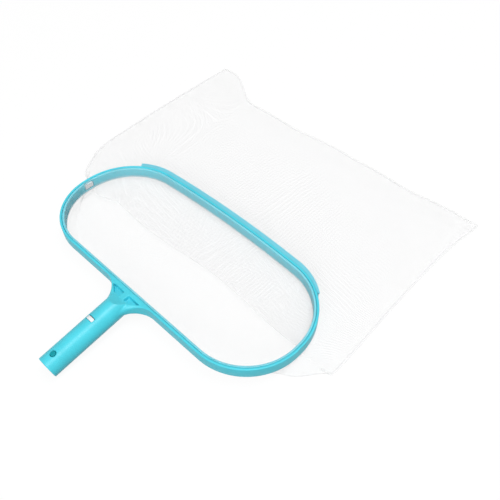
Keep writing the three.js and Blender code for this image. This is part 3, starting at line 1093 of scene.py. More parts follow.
@dataclass
class FrameMoulding:
    """Hoop rail, web and pole sleeve in one moulding, the ring in it and the lip on it."""

    sizes: Sizes
    tool: SweepTool
    station: float = 2.4 * MM
    edge: float = 0.8 * MM
    voxel: float = 0.6 * MM
    ease_rounds: int = 3
    sharp_over: float = math.radians(45)
    sleeve_steps: int = 128
    hole_steps: int = 48
    mouth_ease: float = 0.6 * MM
    mouth_flare: float = 0.7 * MM
    web_edge: float = 0.7 * MM
    web_flat: float = 0.1 * MM
    web_steps: int = 32
    web_round_from: float = 0.15
    web_corner_steps: int = 6
    pocket_floor: float = 0.9
    pocket_drop: float = 0.2 * MM
    window_corner: float = 0.6 * MM
    plain_from: float = 34 * MM
    end_margin: float = 1.6 * MM
    opening_margin: float = 1.4 * MM
    window_end_margin: float = 1.2 * MM
    true_within: float = 0.45 * MM
    ring_edge: float = 0.9 * MM
    ring_edge_steps: int = 4
    gather_short: float = 1.2 * MM
    gather_station: float = 0.6 * MM
    gather_wave: float = 0.35 * MM
    gather_radian: float = 0.55 * MM
    gather_behind: float = 0.5 * MM
    gather_top: float = 4.5 * MM
    gather_foot: float = 13 * MM
    gather_thick: float = 1.6 * MM
    gather_slope: float = 0.2 * MM
    gather_sharp: float = math.radians(50)
    flange: float = 1 * MM
    blade_least: float = 0.6 * MM
    blade_fall: float = 0.5 * MM
    blade_under: float = 0.4 * MM
    lip_edge: float = 0.55 * MM

    def rail(self, material: bpy.types.Material) -> bpy.types.Mesh:
        """Makes the rail: an upright wall with a flange inside its foot.

        Args:
            material: Its finish.

        Returns:
            The rail's mesh.
        """
        s = self.sizes
        section = [
            (0, 0),
            (-s.rail_wall, 0),
            (-s.rail_wall, s.shelf_height - s.hoop_height),
            (-s.shelf_inset, s.shelf_height - s.hoop_height),
            (-s.shelf_inset, -s.hoop_height),
            (0, -s.hoop_height),
        ]
        path = OUTLINE.round(self.station)
        return self.tool.sweep("rail", path, rounded(section, self.edge), True, material)

    def sleeve_solid(self) -> bpy.types.Mesh:
        """Makes the sleeve without its bore, trimmed by the ramps above and below the web.

        Returns:
            The sleeve's mesh.
        """
        s = self.sizes
        ease = self.mouth_ease
        profile = [
            (0, 0),
            (s.neck_radius, 0),
            (s.sleeve_mouth_radius, s.sleeve_length - ease),
            (s.sleeve_mouth_radius - ease, s.sleeve_length),
            (0, s.sleeve_length),
        ]
        cone = lathe("sleeve", profile, self.sleeve_steps)
        cone.transform(s.sleeve_in_hoop() @ Matrix.Rotation(math.pi / 2, 4, "X"))
        run = 2 * s.sleeve_length
        rise = run * math.tan(s.ramp_angle)
        top = s.hoop_back - s.ramp_top_start
        bottom = s.hoop_back - s.ramp_bottom_start
        inside = s.hoop_back + s.rail_wall / 2
        side = [
            (inside, 0),
            (top, 0),
            (top - run, rise),
            (bottom - run, -s.hoop_height - rise),
            (bottom, -s.hoop_height),
            (inside, -s.hoop_height),
        ]
        reach = 2 * s.neck_radius
        envelope = prism("ramps", side, -reach, reach)
        envelope.transform(Matrix(((0, 0, 1, 0), (1, 0, 0, 0), (0, 1, 0, 0), (0, 0, 0, 1))))
        return combined(cone, [envelope], Join.COMMON)

    def web(self) -> bpy.types.Mesh:
        """Makes the web that sweeps from the sleeve into the hoop, its edges rounder towards its foot.

        Returns:
            The web's mesh.
        """
        s = self.sizes
        side = s.neck_radius - s.gap
        inside = s.hoop_back + s.rail_wall / 2
        quarter = math.pi / 2
        rings = []
        for angle in np.linspace(0, quarter, self.web_steps):
            half = side + s.web_fillet * (1 - math.cos(angle))
            y = s.hoop_back - s.web_fillet + s.web_fillet * math.sin(angle)
            rings.append(self.web_section(half, y, 1 - angle / quarter))
        rings.append(self.web_section(side + s.web_fillet, inside, 0))
        return loft("web", rings)

    def web_section(self, half: float, y: float, to_foot: float) -> list[Vector]:
        """The web's section at one place.

        Args:
            half: Half its width.
            y: Its place in the hoop's frame.
            to_foot: 0 at the hoop and 1 at the web's foot.

        Returns:
            The section's points, with rounder corners towards the foot.
        """
        s = self.sizes
        fullest = s.hoop_height / 2 - self.web_flat
        fuller = smoothstep(to_foot, self.web_round_from, 1)
        radius = self.web_edge + (fullest - self.web_edge) * fuller
        low, high = -s.hoop_height + radius, -radius
        wide = half - radius
        points = []
        for x, z, begin in ((wide, high, 0), (-wide, high, 1), (-wide, low, 2), (wide, low, 3)):
            for step in range(self.web_corner_steps + 1):
                angle = (begin + step / self.web_corner_steps) * math.pi / 2
                points.append(Vector((x + radius * math.cos(angle), y, z + radius * math.sin(angle))))
        return points

    def pocket(self, side: Side) -> bpy.types.Mesh:
        """Makes the space of one of the two pockets in the web's top, narrower at its floor.

        Args:
            side: The pocket's side of the rib.

        Returns:
            The mesh to cut away.
        """
        s = self.sizes
        near = s.hoop_back - s.pocket_start
        far = near - s.pocket_length
        middle = Vector((s.pocket_wide_end / 2 + s.pocket_rib / 4, (near + far) / 2))
        corners = [
            Vector((s.pocket_rib / 2, near)),
            Vector((s.pocket_wide_end, near)),
            Vector((s.pocket_narrow_end, far)),
            Vector((s.pocket_rib / 2, far)),
        ]
        levels = ((self.pocket_floor, -s.pocket_depth), (1.0, self.pocket_drop), (1.0, s.pocket_depth))
        rings = []
        for share, height in levels:
            places = [middle.lerp(corner, share) for corner in corners]
            rings.append([Vector((side.value * place.x, place.y, height)) for place in places])
        return loft("pocket", rings)

    def sleeve_cuts(self) -> list[bpy.types.Mesh]:
        """Makes the sleeve's bore, its window and the buttons' two holes.

        Returns:
            The meshes to cut away, in the hoop's frame.
        """
        s = self.sizes
        flare = self.mouth_flare
        bore = [
            (0, s.sleeve_length - s.bore_depth),
            (s.bore_radius, s.sleeve_length - s.bore_depth),
            (s.bore_radius, s.sleeve_length - flare),
            (s.bore_radius + flare, s.sleeve_length + flare),
            (0, s.sleeve_length + flare),
        ]
        bore_mesh = lathe("bore", bore, self.sleeve_steps)
        bore_mesh.transform(Matrix.Rotation(math.pi / 2, 4, "X"))
        half = s.window_length / 2
        middle = -s.window_from_hoop
        corners = rectangle(-s.window_left, s.window_right, middle - half, middle + half)
        high = 2 * s.neck_radius
        window = prism("window", rounded(corners, self.window_corner), 0, high)
        radius = s.button_radius + s.hole_clearance
        drill = lathe("drill", [(0, -high), (radius, -high), (radius, high), (0, high)], self.hole_steps)
        drill.transform(Matrix.Translation((0, -s.button_from_hoop, 0)))
        cuts = [bore_mesh, window, drill]
        for cut in cuts:
            cut.transform(s.sleeve_in_hoop())
        return cuts

    def trued(self, mesh: bpy.types.Mesh) -> bpy.types.Mesh:
        """Sets points on the sleeve's plain outside or in its bore exactly on their cone or cylinder.

        Args:
            mesh: The sleeve and web, in the hoop's frame.

        Returns:
            The same mesh.
        """
        s = self.sizes
        back = np.array(s.sleeve_in_hoop().inverted())
        forth = np.array(s.sleeve_in_hoop())
        points = np.empty(len(mesh.vertices) * 3)
        mesh.vertices.foreach_get("co", points)
        points = points.reshape(-1, 3)
        local = points @ back[:3, :3].T + back[:3, 3]
        along = -local[:, 1]
        radius = np.hypot(local[:, 0], local[:, 2])
        outside = s.neck_radius - s.sleeve_taper * along / s.sleeve_length
        margin = self.opening_margin
        clear = (along > self.plain_from) & (along < s.sleeve_length - self.end_margin)
        near_hole = np.hypot(local[:, 0], along - s.button_from_hoop) < s.button_radius + margin
        reach = s.window_length / 2 + self.window_end_margin
        in_window = (np.abs(along - s.window_from_hoop) < reach) & (local[:, 2] > 0)
        in_window &= (local[:, 0] > -s.window_left - margin) & (local[:, 0] < s.window_right + margin)
        free = clear & ~near_hole & ~in_window
        bored = free & (along > s.sleeve_length - s.bore_depth + self.end_margin)
        for mask, target in ((free, outside), (bored, np.full(len(along), s.bore_radius))):
            chosen = mask & (np.abs(radius - target) < self.true_within)
            scale = (target / np.maximum(radius, LEAST_RADIUS))[chosen, None]
            local[chosen] = local[chosen] * np.where([True, False, True], scale, 1)
        points = local @ forth[:3, :3].T + forth[:3, 3]
        mesh.vertices.foreach_set("co", points.ravel())
        mesh.update()
        return mesh

    def moulding(self, material: bpy.types.Material) -> bpy.types.Object:
        """Makes the whole moulding as one skin.

        Args:
            material: Its finish.

        Returns:
            The moulding.
        """
        solid = combined(self.sleeve_solid(), [self.web()], Join.ADD)
        cuts = [self.pocket(Side.LEFT), self.pocket(Side.RIGHT), *self.sleeve_cuts()]
        solid = combined(solid, cuts, Join.CUT)
        solid = self.trued(softened(solid, self.voxel, self.ease_rounds))
        whole = combined(solid, [self.rail(material)], Join.ADD)
        smooth_shaded(whole, self.sharp_over)
        nodes = ("hoop_rail", "handle_sleeve")
        return settle("frame_moulding", whole, material, Slot.FRAME, Body.HEAD, nodes, HOOP)

    def ring(self, material: bpy.types.Material) -> bpy.types.Object:
        """Makes the retaining ring, with a gap at the hoop's left end.

        Args:
            material: Its finish.

        Returns:
            The ring.
        """
        s = self.sizes
        height = -s.hoop_height + s.shelf_height + s.gap
        section = [
            (-s.ring_inset, -s.ring_below_rim),
            (-s.shelf_inset, -s.ring_below_rim),
            (-s.shelf_inset, height),
            (-s.ring_inset, height),
        ]
        gap_middle = OUTLINE.left_end + s.ring_gap_back
        begin = gap_middle + s.ring_end_gap / 2
        end = gap_middle - s.ring_end_gap / 2 + OUTLINE.length
        path = OUTLINE.walk(begin, end, self.station)
        section = rounded(section, self.ring_edge, self.ring_edge_steps)
        mesh = self.tool.sweep("ring", path, section, False, material)
        smooth_shaded(mesh)
        return settle("ring_strip", mesh, material, Slot.FRAME, Body.HEAD, ("retaining_ring",), HOOP)

    def gap_cloth(self, material: bpy.types.Material) -> bpy.types.Object:
        """Makes the bag's cloth where it is gathered in the gap between the ring's ends.

        Args:
            material: Its finish.

        Returns:
            The cloth.
        """
        s = self.sizes
        middle = OUTLINE.left_end + s.ring_gap_back
        half = s.ring_end_gap / 2 - self.gather_short
        rings = []
        for point, normal in OUTLINE.walk(middle - half, middle + half, self.gather_station):
            ripple = self.gather_wave * math.sin((point.y - s.hoop_back) / self.gather_radian)
            out = -s.ring_inset - self.gather_behind - ripple
            inner = out - self.gather_thick
            top = -self.gather_top - 2 * ripple
            section = [
                (out, top),
                (inner, top - self.gather_slope),
                (inner + self.gather_slope, -self.gather_foot),
                (out, -self.gather_foot),
            ]
            rings.append([Vector((point.x + normal.x * x, point.y + normal.y * x, z)) for x, z in section])
        mesh = smooth_shaded(loft("gap_cloth", rings), self.gather_sharp)
        return settle("ring_gap_cloth", mesh, material, Slot.TAPE, Body.HEAD, (), HOOP)

    def lip(self, material: bpy.types.Material) -> bpy.types.Object:
        """Makes the front lip: a face on the rail, a flange under its foot and a flat blade in front.

        Args:
            material: Its finish.

        Returns:
            The lip.
        """
        s = self.sizes
        foot = -s.hoop_height - s.gap
        low = foot - self.flange
        outer = s.gap + s.lip_thickness
        under = -s.lip_below_rim - s.blade_height
        wrap_length = (s.lip_wrap - (math.pi / 2 - OUTLINE.end_start)) * s.end_radius
        half_front = OUTLINE.front_length / 2
        begin = OUTLINE.front_middle - half_front - wrap_length
        end = OUTLINE.front_middle + half_front + wrap_length
        rings = []
        for point, normal in OUTLINE.walk(begin, end, self.station):
            reach = max(outer + self.blade_least, -s.lip_aside * normal.x + s.lip_reach * normal.y)
            section = [
                (s.gap, -s.lip_below_rim),
                (reach, -s.lip_below_rim - self.blade_fall),
                (reach, under),
                (outer, under - self.blade_under),
                (outer, low),
                (-s.lip_flange_depth, low),
                (-s.lip_flange_depth, foot),
                (s.gap, foot),
            ]
            ring = []
            for out, z in rounded(section, self.lip_edge):
                place = point + normal * out
                ring.append(Vector((place.x, place.y, z)))
            rings.append(ring)
        mesh = smooth_shaded(loft("lip", rings))
        return settle("front_lip_strip", mesh, material, Slot.LIP, Body.HEAD, ("front_lip",), HOOP)

    def build(self, aqua: bpy.types.Material, pale: bpy.types.Material, cloth: bpy.types.Material) -> None:
        """Makes the moulding, the ring, the cloth in its gap, and the lip.

        Args:
            aqua: The moulding's and the ring's finish.
            pale: The lip's finish.
            cloth: The gathered cloth's finish.
        """
        self.moulding(aqua)
        self.ring(aqua)
        self.gap_cloth(cloth)
        self.lip(pale)


# ---- The sprung clip and its plug ----------------------------------------------------------------


@dataclass
class SprungClip:
    """The V clip in the sleeve's bore: a thick end, two arms with buttons, and the plug that pins it."""

    sizes: Sizes
    edge: float = 0.3 * MM
    edge_steps: int = 3
    edge_over: float = math.radians(50)
    sharp_over: float = math.radians(35)
    bow_corner: float = 0.8 * MM
    seat: float = 2 * MM
    seat_depth: float = 3.3 * MM
    arm_corner: float = 0.5 * MM
    arm_steps: int = 24
    button_steps: int = 48
    dome_rings: int = 7
    dome_flat: float = 0.25 * MM
    cap_share: float = 0.6
    cap_drop: float = 0.08 * MM
    plug_corner: float = 0.45 * MM
    plug_stock: float = 20 * MM
    plug_steps: int = 96
    peg: float = 1.7 * MM
    peg_depth: float = 3 * MM
    peg_overlap: float = 1 * MM

    @property
    def bow_start(self) -> float:
        """Along the sleeve, where the thick end begins."""
        return self.sizes.window_from_hoop - self.sizes.bow_length / 2

    @property
    def bow_height(self) -> float:
        """The thick end's height."""
        return 2 * (self.sizes.bore_radius - self.sizes.bow_in_bore)

    def bevelled(self, mesh: bpy.types.Mesh) -> bpy.types.Mesh:
        """Eases a mesh's sharp edges.

        Args:
            mesh: The mesh.

        Returns:
            The new mesh.
        """
        body = new_object("bevel", mesh)
        step = body.modifiers.new("ease", "BEVEL")
        step.width = self.edge
        step.segments = self.edge_steps
        step.limit_method = "ANGLE"
        step.angle_limit = self.edge_over
        step.harden_normals = False
        return smooth_shaded(evaluated(body), self.sharp_over)

    def bow(self, material: bpy.types.Material) -> bpy.types.Object:
        """Makes the thick end, with a square seat for the plug's peg.

        Args:
            material: Its finish.

        Returns:
            The thick end.
        """
        s = self.sizes
        half = s.clip_width / 2
        corners = rectangle(-half, half, -self.bow_start - s.bow_length, -self.bow_start)
        height = self.bow_height / 2
        mesh = prism("bow", rounded(corners, self.bow_corner), -height, height)
        middle = -s.window_from_hoop
        hole = rectangle(-self.seat, self.seat, middle - self.seat, middle + self.seat)
        mesh = combined(mesh, [prism("seat", hole, height - self.seat_depth, 2 * height)], Join.CUT)
        mesh = self.bevelled(mesh)
        return settle("clip_thick_end", mesh, material, Slot.CLIP, Body.HEAD, ("clip_bow",), SLEEVE)

    def button_profile(self, foot: float) -> Plan:
        """Draws a button's outline.

        Args:
            foot: Height of its foot over the sleeve's axis.

        Returns:
            Radius and height pairs, from the foot up.
        """
        s = self.sizes
        top = s.sleeve_mouth_radius + s.button_proud
        bend = s.button_radius - s.button_top_radius
        shoulder = top - s.button_dome
        climb = s.button_dome - self.dome_flat
        dome = [
            (s.button_top_radius + bend * math.cos(angle), shoulder + climb * math.sin(angle))
            for angle in np.linspace(0, math.pi / 2, self.dome_rings)
        ]
        cap = (s.button_top_radius * self.cap_share, top - self.cap_drop)
        return [(0, foot), (s.button_radius, foot), *dome, cap, (0, top)]

    def arm(self, arm: Arm, material: bpy.types.Material) -> bpy.types.Object:
        """Makes one sprung arm with its domed button.

        Args:
            arm: Which arm.
            material: Its finish.

        Returns:
            The arm.
        """
        s = self.sizes
        root = self.bow_start + s.bow_length + s.gap
        tip = s.button_from_hoop + s.arm_past_button
        tip_height = math.sqrt((s.bore_radius - s.gap) ** 2 - (s.clip_width / 2) ** 2) - s.clip_thickness / 2
        rings = []
        half, thick = s.clip_width / 2, s.clip_thickness / 2
        section = rounded(rectangle(-half, half, -thick, thick), self.arm_corner)
        for k in range(self.arm_steps + 1):
            share = k / self.arm_steps
            height = s.arm_root_height + (tip_height - s.arm_root_height) * share
            rings.append([Vector((x, -(root + (tip - root) * share), height + z)) for x, z in section])
        strip = loft("arm", rings)
        share = (s.button_from_hoop - root) / (tip - root)
        foot = s.arm_root_height + (tip_height - s.arm_root_height) * share
        button = lathe("button", self.button_profile(foot), self.button_steps)
        button.transform(Matrix.Translation((0, -s.button_from_hoop, 0)))
        mesh = smooth_shaded(combined(strip, [button], Join.ADD), self.sharp_over)
        body, matrix = Body.UPPER_ARM, SLEEVE
        if arm is Arm.LOWER:
            body, matrix = Body.LOWER_ARM, SLEEVE @ Matrix.Rotation(math.pi, 4, "Y")
        nodes = (f"clip_arm_{arm.value}",)
        return settle(f"button_arm_{arm.value}", mesh, material, Slot.CLIP, body, nodes, matrix)

    def plug(self, material: bpy.types.Material) -> bpy.types.Object:
        """Makes the plug in the window, flush with the sleeve's round, with its peg.

        Args:
            material: Its finish.

        Returns:
            The plug.
        """
        s = self.sizes
        middle = -s.window_from_hoop
        low = middle - s.window_length / 2 + s.gap
        high = middle + s.window_length / 2 - s.plug_slit
        foot = self.bow_height / 2 + s.gap
        left, right = s.gap - s.window_left, s.window_right - s.gap
        corners = rounded(rectangle(left, right, low, high), self.plug_corner)
        bar = prism("bar", corners, foot, self.plug_stock)
        radius = s.sleeve_mouth_radius
        barrel = lathe("round", [(0, -high), (radius, -high), (radius, -low), (0, -low)], self.plug_steps)
        barrel.transform(Matrix.Rotation(math.pi / 2, 4, "X"))
        head = combined(bar, [barrel], Join.COMMON)
        square = rectangle(-self.peg, self.peg, middle - self.peg, middle + self.peg)
        pin = prism("pin", square, self.bow_height / 2 - self.peg_depth, foot + self.peg_overlap)
        mesh = self.bevelled(combined(head, [pin], Join.ADD))
        return settle("window_plug", mesh, material, Slot.PLUG, Body.HEAD, ("clip_anchor_plug",), SLEEVE)

    def build(self, deep: bpy.types.Material, white: bpy.types.Material) -> None:
        """Makes the clip's three pieces and the plug.

        Args:
            deep: The clip's finish: its own aqua, darkened further as painted shade for the hole round each
                button.
            white: The plug's finish, whose white is a painted highlight.
        """
        self.bow(deep)
        for arm in Arm:
            self.arm(arm, deep)
        self.plug(white)


# ---- The bag -------------------------------------------------------------------------------------


@dataclass(frozen=True)
class Slack:
    """Slack in laid cloth: broad swells, long soft creases and a fine unevenness."""

    broad: tuple[float, float] = (9, 14)
    crease_across: tuple[float, float] = (6, 13)
    crease_along: tuple[float, float] = (-9, 5)
    crease_width: float = 3
    crease_seed: float = 7
    fine: tuple[float, float] = (40, 52)
    fine_seed: float = 3
    level: float = 0.35
    broad_share: float = 0.7
    crease_share: float = 0.2
    fine_share: float = 0.08
    least: float = -0.3
    most: float = 1.3

    def at(self, x: float, y: float, seed: float) -> float:
        """Finds the slack at a place.

        Args:
            x: The place's X.
            y: The place's Y.
            seed: Which pattern.

        Returns:
            The slack, from 0 to 1.
        """
        broad = noise.noise(Vector((x * self.broad[0], y * self.broad[1], seed)))
        across = x * self.crease_across[0] + y * self.crease_across[1]
        along = x * self.crease_along[0] + y * self.crease_along[1]
        valley = noise.noise(Vector((across, along, seed + self.crease_seed)))
        crease = max(0.0, 1 - (valley * self.crease_width) ** 2)
        fine = noise.noise(Vector((x * self.fine[0], y * self.fine[1], seed + self.fine_seed)))
        total = self.level + self.broad_share * broad + self.crease_share * crease + self.fine_share * fine
        return smoothstep(total, self.least, self.most)


@dataclass
class MeshBag:
    """Two net panels, the hem round the ring, the seams' tapes and their stitches."""

    sizes: Sizes
    sweeps: SweepTool
    stitches: StitchTool
    slack: Slack = Slack()
    layer: float = 0.9 * MM
    second_layer: float = 1.5
    under_hem: float = 0.9 * MM
    reach_left: float = 274.35 * MM
    reach_right: float = 244.85 * MM
    reach_front: float = 311.5 * MM
    skew: float = 0.02
    corner_reach: float = 45 * MM
    corner_span: tuple[float, float] = (0.6, 0.93)
    ripple: float = 1.8 * MM
    ripple_waves: tuple[tuple[float, float, float], ...] = ((1.0, 7.1, 0.8), (0.6, 15.3, 2.1))
    ripple_end: tuple[float, float] = (0.55, 0.9)
    landing: tuple[tuple[float, float], ...] = (
        (-1, 47 * MM),
        (-0.954, 16 * MM),
        (-0.88, -1 * MM),
        (-0.75, -8 * MM),
        (-0.4, -14 * MM),
        (0, -24 * MM),
        (0.4, -14 * MM),
        (0.8, -3 * MM),
        (0.87, 3 * MM),
        (0.889, 8 * MM),
        (0.905, 14 * MM),
        (0.954, 28 * MM),
        (1, 45 * MM),
    )
    landing_ease: float = 0.03
    landing_samples: int = 9
    landing_ahead: tuple[float, float] = (18 * MM, 9 * MM)
    ahead_from: float = 0.9
    edge_bend: float = 4 * MM
    corner_flare: float = 6 * MM
    flare_from: float = 0.75
    edge_only: int = 4
    drop_share: float = 0.1
    drop_sag: float = 1.6
    near_spread: float = 0.22
    near_seed: float = 11.0
    near_slack: float = 1.3 * MM
    calm_sides: int = 8
    calm_ends: float = 0.1
    fold_middle: float = 9.5 * MM
    fold_wave: float = 4 * MM
    fold_crest: float = 50 * MM
    fold_span: float = 260 * MM
    fold_dip: float = 14 * MM
    dip_span: tuple[float, float] = (150 * MM, 185 * MM)
    fold_radius: float = 0.9 * MM
    least_fold: float = 3 * MM
    turn_share: float = 0.05
    hem_sag: float = 0.9 * MM
    hem_seed: float = 31.0
    far_spread: float = 0.25
    far_seed: float = 53.0
    under_hoop: float = 3 * MM
    settle_span: tuple[float, float] = (10 * MM, 150 * MM)
    far_level: float = 2.1 * MM
    far_slack: float = 3.2 * MM
    fall_share: float = 0.08
    meet_share: float = 0.12
    side_from: float = 0.86
    far_bias: float = math.radians(14)
    across: int = 150
    drop_rows: int = 15
    near_rows: int = 105
    under_rows: int = 25
    turn_rows: int = 8
    far_rows: int = 96
    hem_station: float = 2.4 * MM
    hem_clear: float = 0.15 * MM
    hem_start: float = 0.5 * MM
    hem_shoulder: Plan = ((1.1 * MM, 0), (0.35 * MM, -0.3 * MM), (0, -1.05 * MM))
    hem_band: Plan = ((0, 5 * MM), (0.1 * MM, 2.5 * MM), (0.3 * MM, -0.5 * MM), (0.65 * MM, -0.3 * MM))
    hem_fold: float = 4 * MM
    hem_fold_in: float = 0.7 * MM
    hem_radius: float = 160 * MM
    tape_width: float = 2.6 * MM
    tape_over: float = 0.4 * MM
    tape_clear: float = 0.1 * MM
    tape_taper: float = 0.4
    tape_edge: float = 0.3 * MM
    seam_start: float = 0.07
    side_steps: int = 110
    bottom_steps: int = 150
    stitch_out: float = 0.9 * MM
    hem_stitch_station: float = 3 * MM
    hem_stitch_in: float = 0.95 * MM
    hem_stitch_drop: float = 1 * MM

    def mouth(self, share: float, half: Half) -> Place:
        """Finds a place under the hem.

        Args:
            share: From -1 at the hoop's left end to 1 at its right end.
            half: The half of the hoop.

        Returns:
            The point, in the model's frame, and the outward direction there.
        """
        point, normal = OUTLINE.mouth(share, half)
        point = point - normal * self.sizes.bag_inset
        below = self.sizes.hoop_height + self.under_hem
        return HOOP @ Vector((point.x, point.y, -below)), Vector((normal.x, normal.y, 0))

    def bottom(self, share: float) -> Vector:
        """Finds a place on the bottom seam, whose left corner is pulled out and which has a slight ripple.

        Args:
            share: Across the bag, from -1 to 1.

        Returns:
            The point in plan.
        """
        x = share * (self.reach_left if share < 0 else self.reach_right)
        y = self.reach_front + self.skew * x + self.corner_reach * smoothstep(-share, *self.corner_span)
        wave = sum(size * math.sin(rate * share + start) for size, rate, start in self.ripple_waves)
        calm = 1 - smoothstep(-share, *self.ripple_end)
        return Vector((x, y + self.ripple * wave * calm, 0))

    def land(self, share: float) -> Vector:
        """Finds where the near panel, coming down from the hem, first meets the table.

        Args:
            share: Across the bag, from -1 to 1.

        Returns:
            The point, in the model's frame.
        """
        point, normal = self.mouth(share, Half.NEAR)
        stops, offsets = zip(*self.landing)
        reach = min(self.landing_ease, 1 - abs(share))
        around = share + np.linspace(-reach, reach, self.landing_samples)
        offset = float(np.mean(np.interp(around, stops, offsets)))
        ahead = self.landing_ahead[share > 0] * smoothstep(abs(share), self.ahead_from, 1)
        return Vector((point.x + normal.x * offset, point.y + normal.y * offset + ahead, self.layer / 2))

    def edge_bow(self, share: float, out: float) -> float:
        """Bends the bag's side edges: the left one out, the right one in and back out at its corner.

        Args:
            share: Across the bag, from -1 to 1.
            out: From 0 at the hoop to 1 at the bottom seam.

        Returns:
            The shift in X.
        """
        bend = -self.edge_bend * math.sin(math.pi * out)
        if share > 0:
            bend += self.corner_flare * smoothstep(out, self.flare_from, 1)
        return bend * abs(share) ** self.edge_only

    def spread(self, start: float, end: float, out: float, over: float) -> float:
        """A place's X on its way from the hoop to the bottom seam, most of it over the first stretch."""
        return start + (end - start) * (1 - max(0.0, 1 - out / over) ** 2)

    def near_point(self, share: float, along: float) -> Vector:
        """Finds a place on the near panel: down from the hem, then over the table to the bottom seam.

        Args:
            share: Across the bag, from -1 to 1.
            along: From 0 at the hem to 1 at the bottom seam.

        Returns:
            The point, in the model's frame.
        """
        start, _ = self.mouth(share, Half.NEAR)
        landing = self.land(share)
        if along < self.drop_share:
            part = along / self.drop_share
            plan = start.lerp(landing, part)
            height = landing.z + (start.z - landing.z) * (1 - part) ** self.drop_sag
            return Vector((plan.x, plan.y, height))
        out = (along - self.drop_share) / (1 - self.drop_share)
        end = self.bottom(share)
        x = self.spread(landing.x, end.x, out, self.near_spread) + self.edge_bow(share, out)
        y = landing.y + (end.y - landing.y) * out
        lift = self.slack.at(x, y, self.near_seed) * self.near_slack * (1 - abs(share) ** self.calm_sides)
        lift *= smoothstep(out, 0, self.calm_ends) * smoothstep(1 - out, 0, self.calm_ends)
        return Vector((x, y, landing.z + lift))

    def fold_line(self, start: Vector) -> float:
        """Finds the far panel's fold.

        Args:
            start: A place under the hoop's front edge.

        Returns:
            The fold's Y behind it.
        """
        turn = (start.x - self.fold_crest) * 2 * math.pi / self.fold_span
        fold = self.fold_middle + self.fold_wave * math.cos(turn)
        fold -= self.fold_dip * smoothstep(-start.x, *self.dip_span)
        return min(fold, start.y - self.least_fold)

    def far_point(self, share: float, along: float) -> Vector:
        """Finds a place on the far panel: in from the hoop's front, round its fold, and back out.

        Args:
            share: Across the bag, from -1 to 1.
            along: From -1 at the hem to 0 at the fold, round it by turn_share, and 1 at the bottom seam.

        Returns:
            The point, in the model's frame.
        """
        start, _ = self.mouth(share, Half.FAR)
        fold = self.fold_line(start)
        if along < 0:
            y = fold + (start.y - fold) * -along
            sag = self.hem_sag * math.sin(math.pi * min(1.0, -along))
            return Vector((start.x, y, start.z - sag * self.slack.at(start.x, y, self.hem_seed)))
        if along <= self.turn_share:
            turn = along / self.turn_share * math.pi
            drop = self.fold_radius * (1 - math.cos(turn))
            return Vector((start.x, fold - self.fold_radius * math.sin(turn), start.z - drop))
        out = (along - self.turn_share) / (1 - self.turn_share)
        end = self.bottom(share)
        x = self.spread(start.x, end.x, out, self.far_spread) + self.edge_bow(share, out)
        y = fold + (end.y - fold) * out
        under = start.z - 2 * self.fold_radius
        front = self.sizes.hoop_front
        level = (HOOP @ Vector((0, front, -self.sizes.hoop_height))).z - self.under_hoop
        clear, over = self.settle_span
        settled = smoothstep(max(0.0, y - front - clear), 0, over)
        laid = self.far_level + self.far_slack * self.slack.at(x, y, self.far_seed)
        middle = level + (laid - level) * settled
        on_near = self.layer * self.second_layer
        middle = on_near + (middle - on_near) * smoothstep(1 - out, 0, self.meet_share)
        height = under + (middle - under) * smoothstep(out, 0, self.fall_share)
        rim = self.near_point(math.copysign(1, share), along)
        edge = Vector((rim.x, rim.y, rim.z + self.layer))
        return Vector((x, y, height)).lerp(edge, smoothstep(abs(share), self.side_from, 1))

    def panel(
        self, name: str, surface: Callable[[float, float], Vector], stops: Sequence[float], bias: float
    ) -> bpy.types.Mesh:
        """Makes a net panel over a surface, with a UV map in metres that its threads follow.

        Args:
            name: The mesh's name.
            surface: Point for each place across and along the panel.
            stops: The places along it.
            bias: How far its threads are turned from the panel's sides.

        Returns:
            The panel as one skin, as thin net is.
        """
        shares = np.linspace(-1, 1, self.across + 1)
        grid = [[surface(share, stop) for stop in stops] for share in shares]
        rows = len(stops)
        mesh = bpy.data.meshes.new(name)
        points = [tuple(p) for column in grid for p in column]
        faces = [
            (i * rows + j, (i + 1) * rows + j, (i + 1) * rows + j + 1, i * rows + j + 1)
            for i in range(self.across)
            for j in range(rows - 1)
        ]
        mesh.from_pydata(points, [], faces)
        middle = grid[self.across // 2]
        lengths = np.cumsum([0, *((b - a).length for a, b in zip(middle, middle[1:]))])
        half_width = (self.reach_left + self.reach_right) / 2
        layout = mesh.uv_layers.new(name=CLOTH_LAYOUT)
        for loop in mesh.loops:
            i, j = divmod(loop.vertex_index, rows)
            spot = Vector((shares[i] * half_width, lengths[j]))
            spot.rotate(Matrix.Rotation(bias, 2))
            layout.data[loop.index].uv = spot
        mesh.shade_smooth()
        return mesh

    def near_stops(self) -> list[float]:
        """Places along the near panel, closer where it comes down from the hem."""
        drop = np.linspace(0, self.drop_share, self.drop_rows + 1)[:-1]
        return [*drop, *np.linspace(self.drop_share, 1, self.near_rows)]

    def far_stops(self) -> list[float]:
        """Spaces the places along the far panel, closer round its fold.

        Returns:
            The places, from -1 to 1.
        """
        under = np.linspace(-1, 0, self.under_rows + 1)[:-1]
        turn = np.linspace(0, self.turn_share, self.turn_rows + 1)[:-1]
        return [*under, *turn, *np.linspace(self.turn_share, 1, self.far_rows)]

